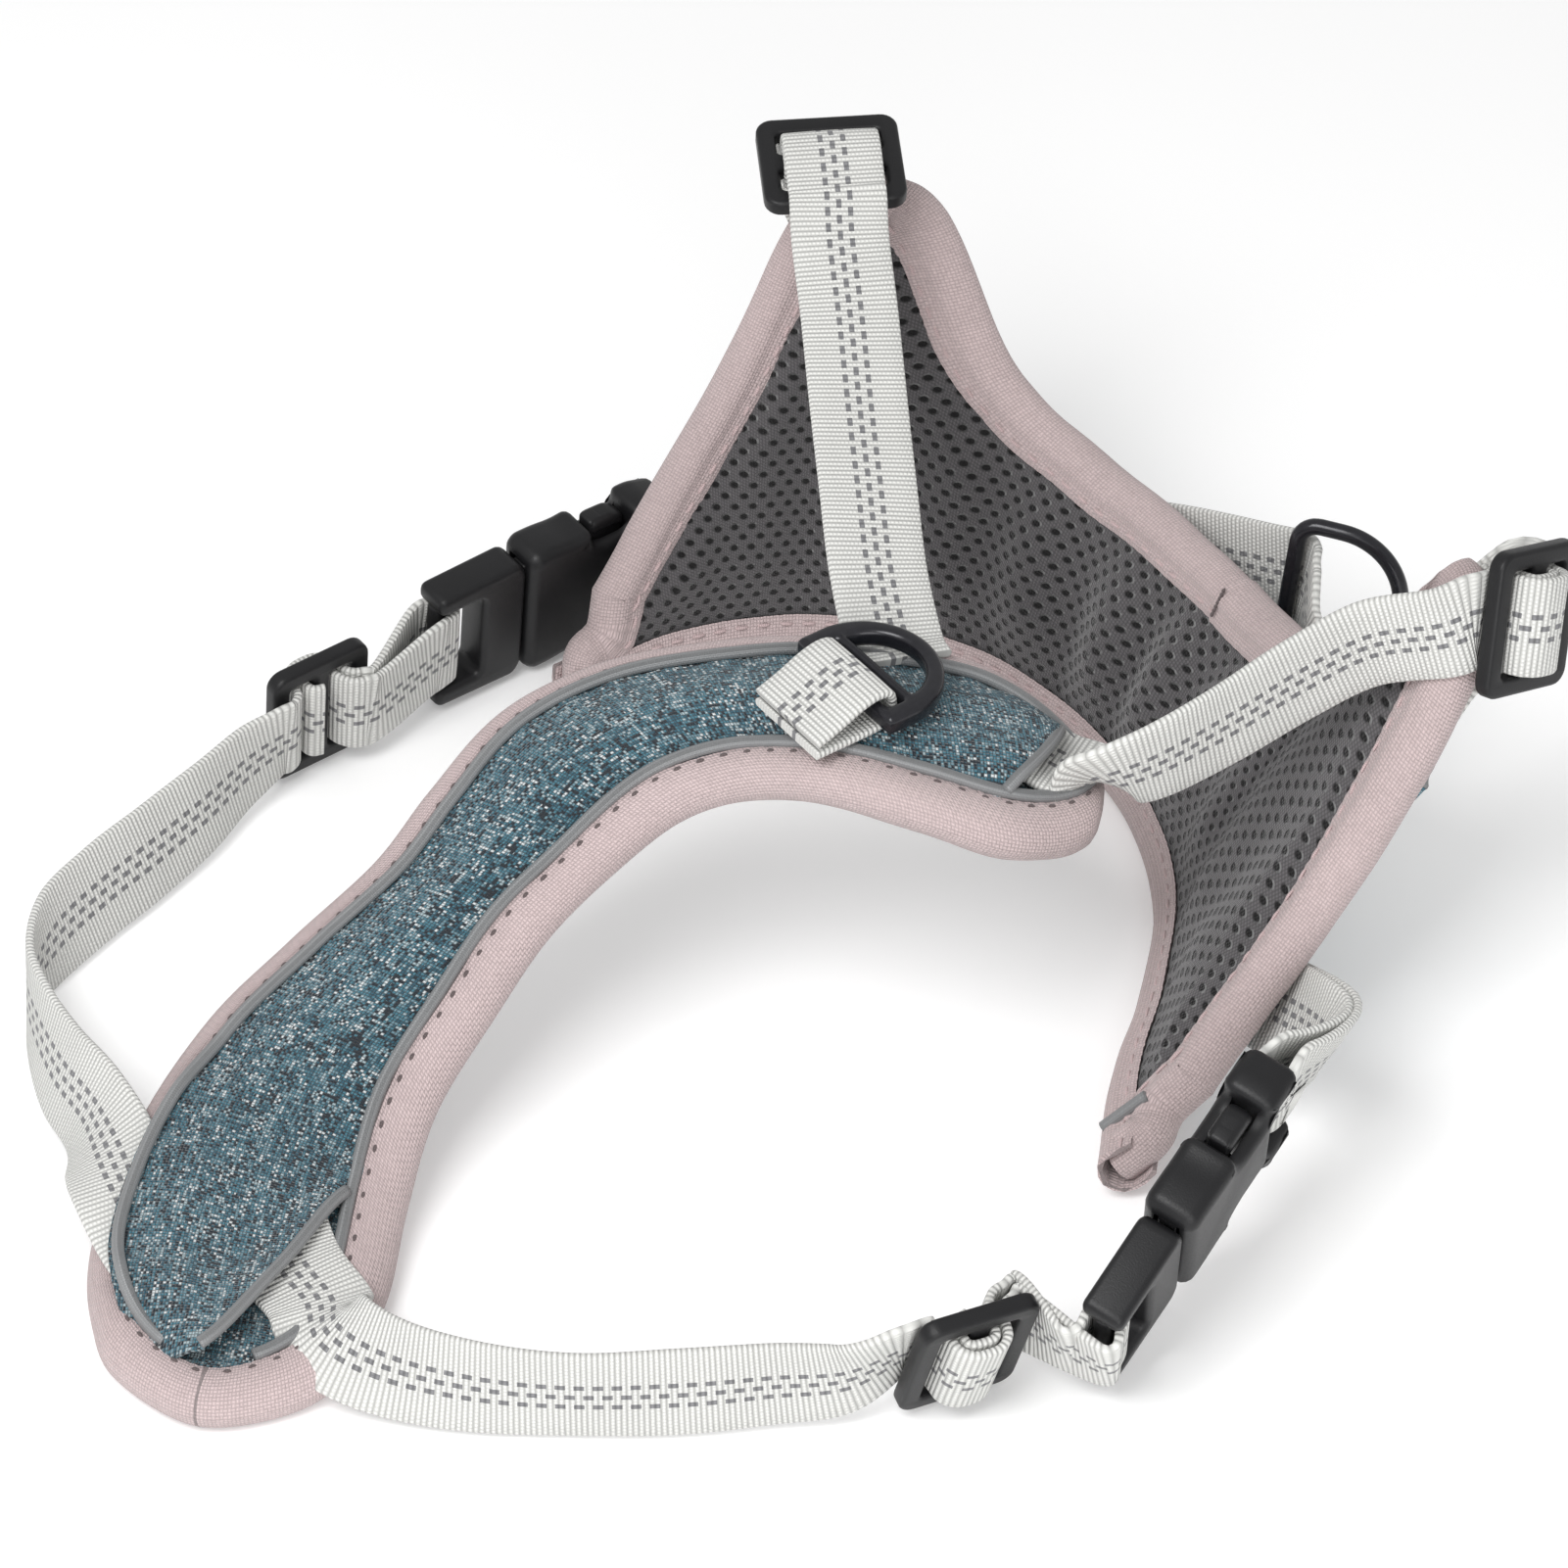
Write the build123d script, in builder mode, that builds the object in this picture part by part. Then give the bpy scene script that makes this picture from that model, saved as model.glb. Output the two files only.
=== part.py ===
from build123d import *
import os

# No pull dog harness, size extra small, resting on its rear edge with the body loop on the surface.
# The near side is the chest strip, the far side is the back panel with its lining facing in.
# +Z is up, +X runs from the left straps to the right straps, the front of the view is -Y.

os.makedirs("parts", exist_ok=True)

# ---------------------------------------------------------------- driving dimensions (mm)
origin_shift = Vector(-2.6, -6.8, 0.03)   # moves the layout so that the box's bottom centre is the origin

webbing_width = 15.0
webbing_thickness = 1.4
fabric_thickness = 0.9
padding_thickness = 3.5
lining_thickness = 1.2
binding_rim = 3.4
binding_thickness = 6.8
binding_gap = 0.4
piping_radius = 0.9
piping_inset = 7.0
pocket_thickness = 1.1

adjuster_width = 22.0
adjuster_length = 18.0
adjuster_thickness = 2.8
adjuster_slot_width = 16.2
adjuster_bar = 3.0
adjuster_rail = 3.0

buckle_width = 25.0
buckle_thickness = 8.6
male_length = 17.0
female_length = 29.0
bar_to_mouth = 15.5
arm_offset = 8.0
arm_length = 20.0

ring_wire = 1.3
ring_height = 24.0
ring_reach = 20.0

# The rear edge of the back panel, from the left corner to the right corner.
rear_edge = [
    (-33, 64, 1.2), (-17, 75, 1.2), (4, 80, 1.2), (26, 75, 1.2), (44, 60, 1.2),
    (56, 38, 1.4), (60, 14, 1.8), (57, -8, 2.3), (51, -28, 2.8), (48, -46, 3.0),
]
# Which way the panel rises from its rear edge, at places along that edge from 0 to 1.
rise = [
    (0.0, (0.0, 0.30, 0.95)), (0.22, (0.06, 0.27, 0.96)), (0.50, (0.34, 0.12, 0.93)),
    (0.66, (0.47, -0.04, 0.88)), (0.77, (0.53, 0.25, 0.80)), (0.86, (0.64, 0.0, 0.77)),
    (1.0, (0.75, 0.10, 0.65)),
]
# The panel's height above its rear edge, from the spine (0) to a side corner (1).
half_outline = [
    (0.0, 45), (0.15, 46), (0.30, 50), (0.40, 60), (0.48, 72), (0.56, 77),
    (0.63, 71), (0.70, 54), (0.80, 34), (0.90, 20), (1.0, 12),
]
# The chest strip's two long edges, from the rear end to the front end.
chest_far_edge = [
    (-84, -90, 3.4), (-93, -79, 3.6), (-97, -63, 5), (-92, -43, 10), (-82, -28, 18), (-70, -19, 26),
    (-58, -10, 33), (-50, -2, 40), (-40, 8, 46), (-26, 14, 50), (-11, 15, 53), (3, 14, 55),
    (16, 13, 54), (28, 13, 51), (38, 9, 47), (44, 3, 45), (47, -5, 44),
]
chest_near_edge = [
    (-76, -90.5, 3.4), (-63, -83, 3.4), (-55, -71, 3.7), (-52, -55, 7), (-48, -43, 15), (-40, -32, 23),
    (-32, -22, 30), (-22, -15, 37), (-14, -12, 43), (-7, -12, 47), (1, -14, 50),
    (10, -18, 52), (22, -22, 51), (33, -24, 48), (41, -21, 45), (46, -17, 44), (48.5, -11, 43.5),
]

# Frames of the fittings: place, direction along the strap, direction across the strap.
left_girth_ahead = (0.78, 0.62, 0.0)
left_girth_across = (0.05, -0.12, 0.99)
left_bar = (-53.5, 66.5, 13.6)
right_buckle_ahead = (0.55, 0.74, 0.37)
right_buckle_across = (0.05, 0.47, -0.88)
right_bar = (46, -86, 12.6)
left_adjuster = (-71.5, 52.2, 11.9)
right_adjuster = (27, -88, 11.6)
right_adjuster_ahead = (0.88, 0.42, -0.05)
right_adjuster_across = (-0.20, 0.25, -0.95)
left_neck_adjuster = (9, 91, 88)
left_neck_ahead = (-0.1, 0.95, 0.22)
left_neck_across = (0.99, 0.11, 0.0)
right_neck_adjuster = (109, 3.9, 68.1)
right_neck_ahead = (0.72, 0.62, -0.30)
right_neck_across = (0.15, -0.14, -0.98)
back_ring_place = (79.5, 50.5, 38)
back_ring_up = (0.12, 0.17, 0.98)
back_ring_out = (0.95, -0.30, -0.05)
front_ring_place = (11.5, -3.5, 62.0)
front_ring_across = (0.68, -0.73, -0.05)
front_ring_out = (0.80, 0.60, -0.02)


# ---------------------------------------------------------------- helpers
def spot(point):
    """A layout point moved into the part's frame."""
    return Vector(*point) + origin_shift


def mixed(a, b, share):
    return a + (b - a) * share


def smooth(points, steps):
    """A Catmull-Rom curve through the points, steps places to each span."""
    knots = [Vector(*point) for point in points]
    knots = [knots[0] * 2 - knots[1]] + knots + [knots[-1] * 2 - knots[-2]]
    curve = []
    for index in range(1, len(knots) - 2):
        before, start, end, after = knots[index - 1:index + 3]
        for step in range(steps):
            t = step / steps
            curve.append((
                start * 2
                + (end - before) * t
                + (before * 2 - start * 5 + end * 4 - after) * t ** 2
                + (start * 3 - before - end * 3 + after) * t ** 3
            ) * 0.5)
    curve.append(knots[-2])
    return curve


def evenly(curve, count):
    """Count points at equal distances along a curve of points."""
    reach = [0.0]
    for a, b in zip(curve, curve[1:]):
        reach.append(reach[-1] + (b - a).length)
    places = []
    for number in range(count):
        wanted = reach[-1] * number / (count - 1)
        index = 0
        while index < len(curve) - 2 and reach[index + 1] < wanted:
            index += 1
        share = (wanted - reach[index]) / (reach[index + 1] - reach[index])
        places.append(mixed(curve[index], curve[index + 1], share))
    return places


def read_at(rows, place):
    """The value at a place in a table of (place, value) rows; values are numbers or directions."""
    for (a, low), (b, high) in zip(rows, rows[1:]):
        if place <= b:
            share = max(0.0, (place - a) / (b - a))
            if isinstance(low, tuple):
                return mixed(Vector(*low), Vector(*high), share).normalized()
            return low + (high - low) * share
    last = rows[-1][1]
    return Vector(*last).normalized() if isinstance(last, tuple) else last


def heading(points, index):
    """The direction of a list of points at one of them."""
    return (points[min(index + 1, len(points) - 1)] - points[max(index - 1, 0)]).normalized()


def square_to(direction, axis):
    """A unit direction made square to a unit axis."""
    return (direction - axis * direction.dot(axis)).normalized()


def finish(piece, name):
    piece.part.label = name
    export_step(piece.part, "parts/" + name + ".step")


def make_band(name, sections, thickness):
    """A closed band lofted through (inner point, outer point, face direction) sections."""
    with BuildPart() as band:
        for index, (inner, outer, face) in enumerate(sections):
            reach = outer - inner
            ahead = heading([outer_point for _, outer_point, _ in sections], index)
            normal = reach.cross(face)
            side = 1 if normal.dot(ahead) > 0 else -1
            with BuildSketch(Plane((inner + outer) / 2, x_dir=reach * side, z_dir=normal * side)):
                Rectangle(reach.length, thickness)
        loft(ruled=True)
    finish(band, name)


def make_ribbon(name, route, steps=4):
    """A strap lofted along a route of (point, direction across) rows."""
    centres = smooth([tuple(point) for point, _ in route], steps)
    across = smooth([tuple(way) for _, way in route], steps)
    with BuildPart() as strap:
        for index, centre in enumerate(centres):
            ahead = heading(centres, index)
            with BuildSketch(Plane(centre, x_dir=square_to(across[index], ahead), z_dir=ahead)):
                Rectangle(webbing_width, webbing_thickness)
        loft(ruled=True)
    finish(strap, name)


def make_piping(name, route):
    """A round cord lofted along (point, face direction) rows."""
    centres = [point for point, _ in route]
    with BuildPart() as cord:
        for index, (centre, face) in enumerate(route):
            ahead = heading(centres, index)
            with BuildSketch(Plane(centre, x_dir=square_to(face, ahead), z_dir=ahead)):
                RegularPolygon(piping_radius, 8)
        loft(ruled=True)
    finish(cord, name)


# ---------------------------------------------------------------- the back panel's surface
rear_curve = evenly(smooth(rear_edge, 8), 161)
rear_length = sum((b - a).length for a, b in zip(rear_curve, rear_curve[1:]))


def back_foot(place):
    scaled = min(max(place, 0.0), 1.0) * (len(rear_curve) - 1)
    index = min(int(scaled), len(rear_curve) - 2)
    return mixed(rear_curve[index], rear_curve[index + 1], scaled - index)


def back_rise(place):
    return read_at(rise, place)


def back_face(place):
    """The direction out of the panel, towards the outer fabric."""
    run = back_foot(place + 0.01) - back_foot(place - 0.01)
    return back_rise(place).cross(run).normalized()


def back_height(place):
    return read_at(half_outline, abs(place - 0.5) * 2)


def back_point(place, height, off=0.0):
    return spot(back_foot(place) + back_rise(place) * height + back_face(place) * off)


def inset_outline(outline, inset):
    """Flat outline points (place along, height) moved inwards by the inset."""
    moved = []
    for index, (place, height) in enumerate(outline):
        before = outline[max(index - 1, 0)]
        after = outline[min(index + 1, len(outline) - 1)]
        run = Vector((after[0] - before[0]) * rear_length, after[1] - before[1], 0).normalized()
        inward = Vector(run.Y, -run.X, 0) * inset
        moved.append((place + inward.X / rear_length, height + inward.Y))
    return moved


back_places = [number / 48 for number in range(49)]
neck_outline = [(place, back_height(place)) for place in back_places]


def neck_edge_inset(inset):
    """The neck and side edge, set in, kept between the two end edges."""
    end = inset / rear_length
    moved = inset_outline(neck_outline, inset)
    moved[0] = (end, neck_outline[0][1] - inset)
    moved[-1] = (1 - end, neck_outline[-1][1] - inset)
    return [(min(max(place, end), 1 - end), height) for place, height in moved]


def height_under(edge, place):
    for (a, low), (b, high) in zip(edge, edge[1:]):
        if a <= place <= b and b > a:
            return low + (high - low) * (place - a) / (b - a)
    return edge[-1][1] if place > 0.5 else edge[0][1]


def make_back_layer(name, off, thickness):
    edge = neck_edge_inset(binding_rim)
    low = binding_rim + binding_gap
    end = low / rear_length
    count = 49
    sections = []
    for number in range(count):
        place = end + (1 - 2 * end) * number / (count - 1)
        high = height_under(edge, place) - binding_gap * 1.6
        sections.append((
            back_point(place, low, off), back_point(place, max(high, low + 1.0), off), back_face(place),
        ))
    make_band(name, sections, thickness)


def make_back_bindings():
    inner = neck_edge_inset(binding_rim)
    end = binding_rim / rear_length
    sections = [(back_point(end, binding_rim + 0.3), back_point(0, binding_rim + 0.3), back_face(0))]
    for (place, height), (place_in, height_in) in zip(neck_outline, inner):
        sections.append((back_point(place_in, height_in), back_point(place, height), back_face(place)))
    sections.append((back_point(1 - end, binding_rim + 0.3), back_point(1, binding_rim + 0.3), back_face(1)))
    make_band("back_neck_binding", sections, binding_thickness)
    sections = []
    for place in back_places:
        sections.append((back_point(place, 0), back_point(place, binding_rim), back_face(place)))
    make_band("back_rear_binding", sections, binding_thickness)


def make_back_pipings():
    off = 2.9 + piping_radius + 0.15
    edge = neck_edge_inset(piping_inset)
    for name, first, last in (
        ("back_left_side_piping", 0.04, 0.17), ("back_neck_piping", 0.28, 0.72),
        ("back_right_side_piping", 0.89, 0.97),
    ):
        route = [(back_point(u, height, off), back_face(u)) for u, height in edge if first <= u <= last]
        make_piping(name, route)
    rear = [(back_point(u, piping_inset - 1.5, off), back_face(u)) for u in back_places[4:-4]]
    make_piping("back_rear_piping", rear)


# ---------------------------------------------------------------- the chest strip's surface
far_curve = smooth(chest_far_edge, 3)
near_curve = smooth(chest_near_edge, 3)
chest_rows = len(far_curve)


def chest_point(row, share, off=0.0):
    """A point on the strip: row along it, share from the far edge (0) to the near edge (1)."""
    index = min(max(int(row), 0), chest_rows - 2)
    far = mixed(far_curve[index], far_curve[index + 1], row - index)
    near = mixed(near_curve[index], near_curve[index + 1], row - index)
    return spot(mixed(far, near, share) + chest_face(row) * off)


def chest_face(row):
    index = min(max(int(row), 1), chest_rows - 2)
    run = far_curve[index + 1] + near_curve[index + 1] - far_curve[index - 1] - near_curve[index - 1]
    return (near_curve[index] - far_curve[index]).cross(run).normalized()


def chest_share(row, inset):
    width = (far_curve[int(row)] - near_curve[int(row)]).length
    return inset / width


def make_chest_layer(name, off, thickness):
    sections = []
    for row in range(1, chest_rows - 1):
        share = chest_share(row, binding_rim + binding_gap)
        sections.append((chest_point(row, share, off), chest_point(row, 1 - share, off), chest_face(row)))
    make_band(name, sections, thickness)


def make_chest_bindings():
    """The binding of each long edge; the two meet, with a slit between them, at the rounded ends."""
    for name, outer_share, side in (("chest_near_binding", 1.0, -1), ("chest_far_binding", 0.0, 1)):
        sections = []
        for row in range(chest_rows):
            share = outer_share + side * chest_share(row, binding_rim)
            sections.append((chest_point(row, share), chest_point(row, outer_share), chest_face(row)))
        make_band(name, sections[::side], binding_thickness)


def make_chest_pipings():
    off = 2.9 + piping_radius + 0.15
    for name, side, first, last in (("chest_near_piping", 1, 12, 39), ("chest_far_piping", -1, 12, 33)):
        route = []
        for row in range(first, last + 1):
            share = chest_share(row, piping_inset)
            route.append((chest_point(row, 1 - share if side > 0 else share, off), chest_face(row)))
        make_piping(name, route)


# ---------------------------------------------------------------- pockets that the straps are sewn into
def make_back_pocket(name, first, last, low, high, layers):
    """A fabric patch over the sewn ends of one or two layers of webbing."""
    off = 3.6 + layers * (webbing_thickness + 0.2) + pocket_thickness / 2
    sections = []
    for step in range(5):
        place = first + (last - first) * step / 4
        sections.append((back_point(place, low, off), back_point(place, high, off), back_face(place)))
    make_band(name, sections, pocket_thickness)


def make_chest_pocket(name, first, last, far_share, near_share):
    off = 3.6 + webbing_thickness + 0.9 + pocket_thickness / 2
    sections = []
    for row in range(first, last + 1):
        sections.append((chest_point(row, far_share, off), chest_point(row, near_share, off), chest_face(row)))
    make_band(name, sections, pocket_thickness)


# ---------------------------------------------------------------- fittings
def fitting_frame(place, ahead, across):
    """Unit directions along the strap, out of its face and across it, with the place."""
    along = Vector(*ahead).normalized()
    cross_way = square_to(Vector(*across), along)
    return spot(place), along, cross_way.cross(along), cross_way


def in_frame(frame, x, y, z=0.0):
    place, along, face, cross_way = frame
    return place + along * x + face * y + cross_way * z


def make_adjuster(name, frame):
    """A slide adjuster: an outer frame and a centre bar, with a slot on each side of it."""
    place, along, face, _ = frame
    slot_length = (adjuster_length - adjuster_bar - 2 * adjuster_rail) / 2
    slot_place = adjuster_bar / 2 + slot_length / 2
    with BuildPart() as adjuster:
        with BuildSketch(Plane(place, x_dir=along, z_dir=face)):
            RectangleRounded(adjuster_length, adjuster_width, 2.2)
            with Locations((slot_place, 0), (-slot_place, 0)):
                Rectangle(slot_length, adjuster_slot_width, mode=Mode.SUBTRACT)
        extrude(amount=adjuster_thickness / 2, both=True)
        rims = adjuster.edges().filter_by(GeomType.CIRCLE)
        chamfer(rims.sort_by(Axis((place.X, place.Y, place.Z), (face.X, face.Y, face.Z)))[-4:], 0.5)
    finish(adjuster, name)


def shifted(frame, x, y=0.0, z=0.0):
    place, along, face, cross_way = frame
    return in_frame(frame, x, y, z), along, face, cross_way


def make_male(name, frame):
    """The male half of a side release buckle: bar, slot, body and middle tongue. x = 0 is the mouth."""
    place, along, face, _ = frame
    with BuildPart() as male:
        with BuildSketch(Plane(place, x_dir=along, z_dir=face)):
            with Locations((-male_length / 2 - 0.1, 0)):
                RectangleRounded(male_length - 0.2, buckle_width - 1, 2.5)
            with Locations((-male_length + 5.9, 0)):
                Rectangle(5.4, webbing_width + 1.4, mode=Mode.SUBTRACT)
        extrude(amount=3.4, both=True)
        with BuildSketch(Plane(in_frame(frame, -male_length + 1.5, 0), x_dir=along, z_dir=face)):
            Rectangle(5.0, webbing_width + 1.4)
        extrude(amount=4.0, both=True, mode=Mode.SUBTRACT)
        with BuildSketch(Plane(in_frame(frame, -male_length + 1.5, 0), x_dir=along, z_dir=face)):
            Rectangle(2.8, webbing_width + 2)
        extrude(amount=1.4, both=True)
        with BuildSketch(Plane(in_frame(frame, 8.0, 0), x_dir=along, z_dir=face)):
            Rectangle(17.0, 5.0)
        extrude(amount=1.4, both=True)
    finish(male, name)


def make_arm(name, frame, side):
    """A springy side arm of the male half, with the button that shows in the housing's side window."""
    place, along, face, _ = frame
    with BuildPart() as arm:
        with BuildSketch(Plane(place, x_dir=along, z_dir=face)):
            with BuildLine():
                Polyline(
                    (0.25, side * 6.6), (arm_length - 1, side * 6.6), (arm_length, side * 8.6),
                    (arm_length - 2.2, side * 11.6), (arm_length - 4.2, side * 12.2),
                    (13.2, side * 12.2), (13.2, side * 9.4), (0.25, side * 9.4), (0.25, side * 6.6),
                )
            make_face()
        extrude(amount=1.7, both=True)
    finish(arm, name)


def make_female(name, frame):
    """The female half: a flat housing open at the mouth, a window on each side and a webbing bar."""
    place, along, face, _ = frame
    cavity_end = arm_length + 0.8
    with BuildPart() as female:
        with BuildSketch(Plane(place, x_dir=along, z_dir=face)):
            with Locations((female_length / 2 + 0.15, 0)):
                RectangleRounded(female_length - 0.3, buckle_width, 3.0)
        extrude(amount=buckle_thickness / 2, both=True)
        with BuildSketch(Plane(place, x_dir=along, z_dir=face)):
            with Locations((cavity_end / 2, 0)):
                Rectangle(cavity_end, 20.8)
            with Locations(((12.8 + cavity_end) / 2, 0)):
                Rectangle(cavity_end - 12.8, buckle_width + 2)
            with Locations((0, 0)):
                Rectangle(1.2, 20.8)
        extrude(amount=2.1, both=True, mode=Mode.SUBTRACT)
        with BuildSketch(Plane(place, x_dir=along, z_dir=face)):
            with Locations((24.2, 0)):
                Rectangle(4.0, webbing_width + 1.4)
        extrude(amount=buckle_thickness, both=True, mode=Mode.SUBTRACT)
        with BuildSketch(Plane(in_frame(frame, 28.0, 0), x_dir=along, z_dir=face)):
            Rectangle(3.6, webbing_width + 1.4)
        extrude(amount=buckle_thickness, both=True, mode=Mode.SUBTRACT)
        with BuildSketch(Plane(in_frame(frame, 27.6, 0), x_dir=along, z_dir=face)):
            Rectangle(2.8, webbing_width + 2)
        extrude(amount=1.4, both=True)
    finish(female, name)


def make_back_ring():
    """The welded wire ring: a straight bar in the handle's fold and a round bow."""
    place = spot(back_ring_place)
    up = Vector(*back_ring_up).normalized()
    out = square_to(Vector(*back_ring_out), up)
    half = ring_height / 2 - ring_wire
    bow = ring_reach - 2 * ring_wire
    corner = 2.5
    with BuildPart() as ring:
        with BuildLine(Plane(place, x_dir=out, z_dir=out.cross(up))) as path:
            Line((0, 0), (0, half - corner))
            RadiusArc((0, half - corner), (corner, half), corner)
            Line((corner, half), (bow - half, half))
            ThreePointArc((bow - half, half), (bow, 0), (bow - half, -half))
            Line((bow - half, -half), (corner, -half))
            RadiusArc((corner, -half), (0, corner - half), corner)
            Line((0, corner - half), (0, 0))
        with BuildSketch(Plane(place, z_dir=up)):
            Circle(ring_wire)
        sweep(path=path.wires()[0], transition=Transition.ROUND)
    finish(ring, "back_leash_ring")


def make_front_ring():
    """The moulded ring on the chest: a webbing slot and a D opening in one flat plate."""
    place, out, face, _ = fitting_frame(front_ring_place, front_ring_out, front_ring_across)
    with BuildPart() as ring:
        with BuildSketch(Plane(place, x_dir=out, z_dir=face)):
            with BuildLine():
                Polyline((2, 11.2), (-1.6, 11.2), (-1.6, -11.2), (2, -11.2))
                ThreePointArc((2, -11.2), (14.0, 0), (2, 11.2))
            make_face()
            with Locations((1.8, 0)):
                Rectangle(3.0, webbing_width + 1.2, mode=Mode.SUBTRACT)
            with BuildLine(mode=Mode.PRIVATE) as opening:
                Line((5.0, -7.6), (5.0, 7.6))
                ThreePointArc((5.0, 7.6), (11.5, 0), (5.0, -7.6))
            make_face(opening.edges(), mode=Mode.SUBTRACT)
        extrude(amount=1.6, both=True)
    finish(ring, "front_leash_ring")


# ---------------------------------------------------------------- routes of the straps
def through_adjuster(frame):
    """From the free run, over the centre bar and out of the far slot."""
    places = [
        (-9.4, -2.9), (-6.6, -2.9), (-4.8, -1.7), (-4.2, 0.4), (-3.7, 2.5), (-2.1, 3.9), (0, 4.2),
        (2.1, 3.9), (3.7, 2.5), (4.2, 0.4), (4.8, -1.7), (6.6, -2.9),
    ]
    return [(in_frame(frame, x, y), frame[3]) for x, y in places]


def round_centre_bar(frame):
    """From under the far slot, round the centre bar and back to the sewn end."""
    places = [
        (9.4, -4.8), (6.2, -4.8), (4.2, -4.0), (2.9, -2.0), (2.5, 0), (2.1, 2.1), (0, 2.55),
        (-2.1, 2.1), (-2.5, 0), (-2.1, -1.9), (-0.4, -2.6),
    ]
    return [(in_frame(frame, x, y), frame[3]) for x, y in places]


def round_bar(frame):
    """Over a buckle's bar, through its slot and back under."""
    places = [(-6, 0.6), (-3, 2.3), (0, 2.6), (2.3, 1.9), (3.0, 0), (2.3, -1.9), (0, -2.6), (-4, -3.4)]
    return [(in_frame(frame, x, y), frame[3]) for x, y in places]


def free_run(rows):
    """Hand-laid places of a strap in the layout, with the direction across it at each."""
    return [(spot(point), Vector(*way).normalized()) for point, way in rows]


def girth_route(start, adjuster, bar):
    """The free run, then the loop between the adjuster and the buckle's bar."""
    first = in_frame(adjuster, 9.4, -2.9)
    return start + through_adjuster(adjuster) + [(first, adjuster[3])] + round_bar(bar) + round_centre_bar(adjuster)


def sewn_to_chest(rows, side):
    """Lying on the chest strip along (row, share, off) places; side (1 or -1) is the way its width is measured."""
    places = [chest_point(row, share, off) for row, share, off in rows]
    route = []
    for index, place in enumerate(places):
        route.append((place, chest_face(rows[index][0]).cross(heading(places, index)) * side))
    return route


def on_back(place, height, off, side=1):
    return back_point(place, height, off), back_rise(place) * side


def make_girth_webbings():
    sewn = sewn_to_chest([(8.6, 0.20, 4.2), (8.3, 0.10, 4.3), (7.9, 0.0, 4.5)], -1)
    run = free_run([
        ((-98, -39, 10.4), (0.35, 0.62, 0.70)), ((-104, -28, 9.0), (0.33, 0.35, 0.88)),
        ((-108.5, -17, 8.6), (0.20, 0.12, 0.97)), ((-110.5, -7, 8.4), (0.03, 0.10, 0.99)),
        ((-108, 3, 8.2), (-0.06, 0.45, 0.89)), ((-102, 13, 8.1), (0.0, 0.55, 0.83)),
        ((-95, 22, 8.4), (0.0, 0.50, 0.87)), ((-88, 31, 9.2), (0.0, 0.38, 0.92)),
        ((-82, 39.5, 10.4), (0.02, 0.12, 0.99)),
    ])
    make_ribbon("left_girth_webbing", girth_route(sewn + run, left_girth_frame, left_bar_frame))
    sewn = sewn_to_chest([(8.0, 0.56, 4.3), (6.6, 0.66, 4.3), (5.0, 0.80, 4.6)], -1)
    run = free_run([
        ((-61, -83, 9.4), (-0.60, -0.50, -0.62)), ((-53, -88, 8.6), (-0.42, -0.28, -0.86)),
        ((-41, -91.5, 8.3), (-0.25, -0.15, -0.95)), ((-27, -93, 8.3), (-0.02, -0.05, -1.0)),
        ((-13, -92.5, 8.3), (0.0, -0.10, -1.0)), ((0, -91.5, 8.8), (0.0, -0.02, -1.0)),
        ((10, -91.5, 10.0), (-0.08, 0.10, -0.99)),
    ])
    make_ribbon("right_girth_webbing", girth_route(sewn + run, right_adjuster_frame, right_bar_frame))


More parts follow.
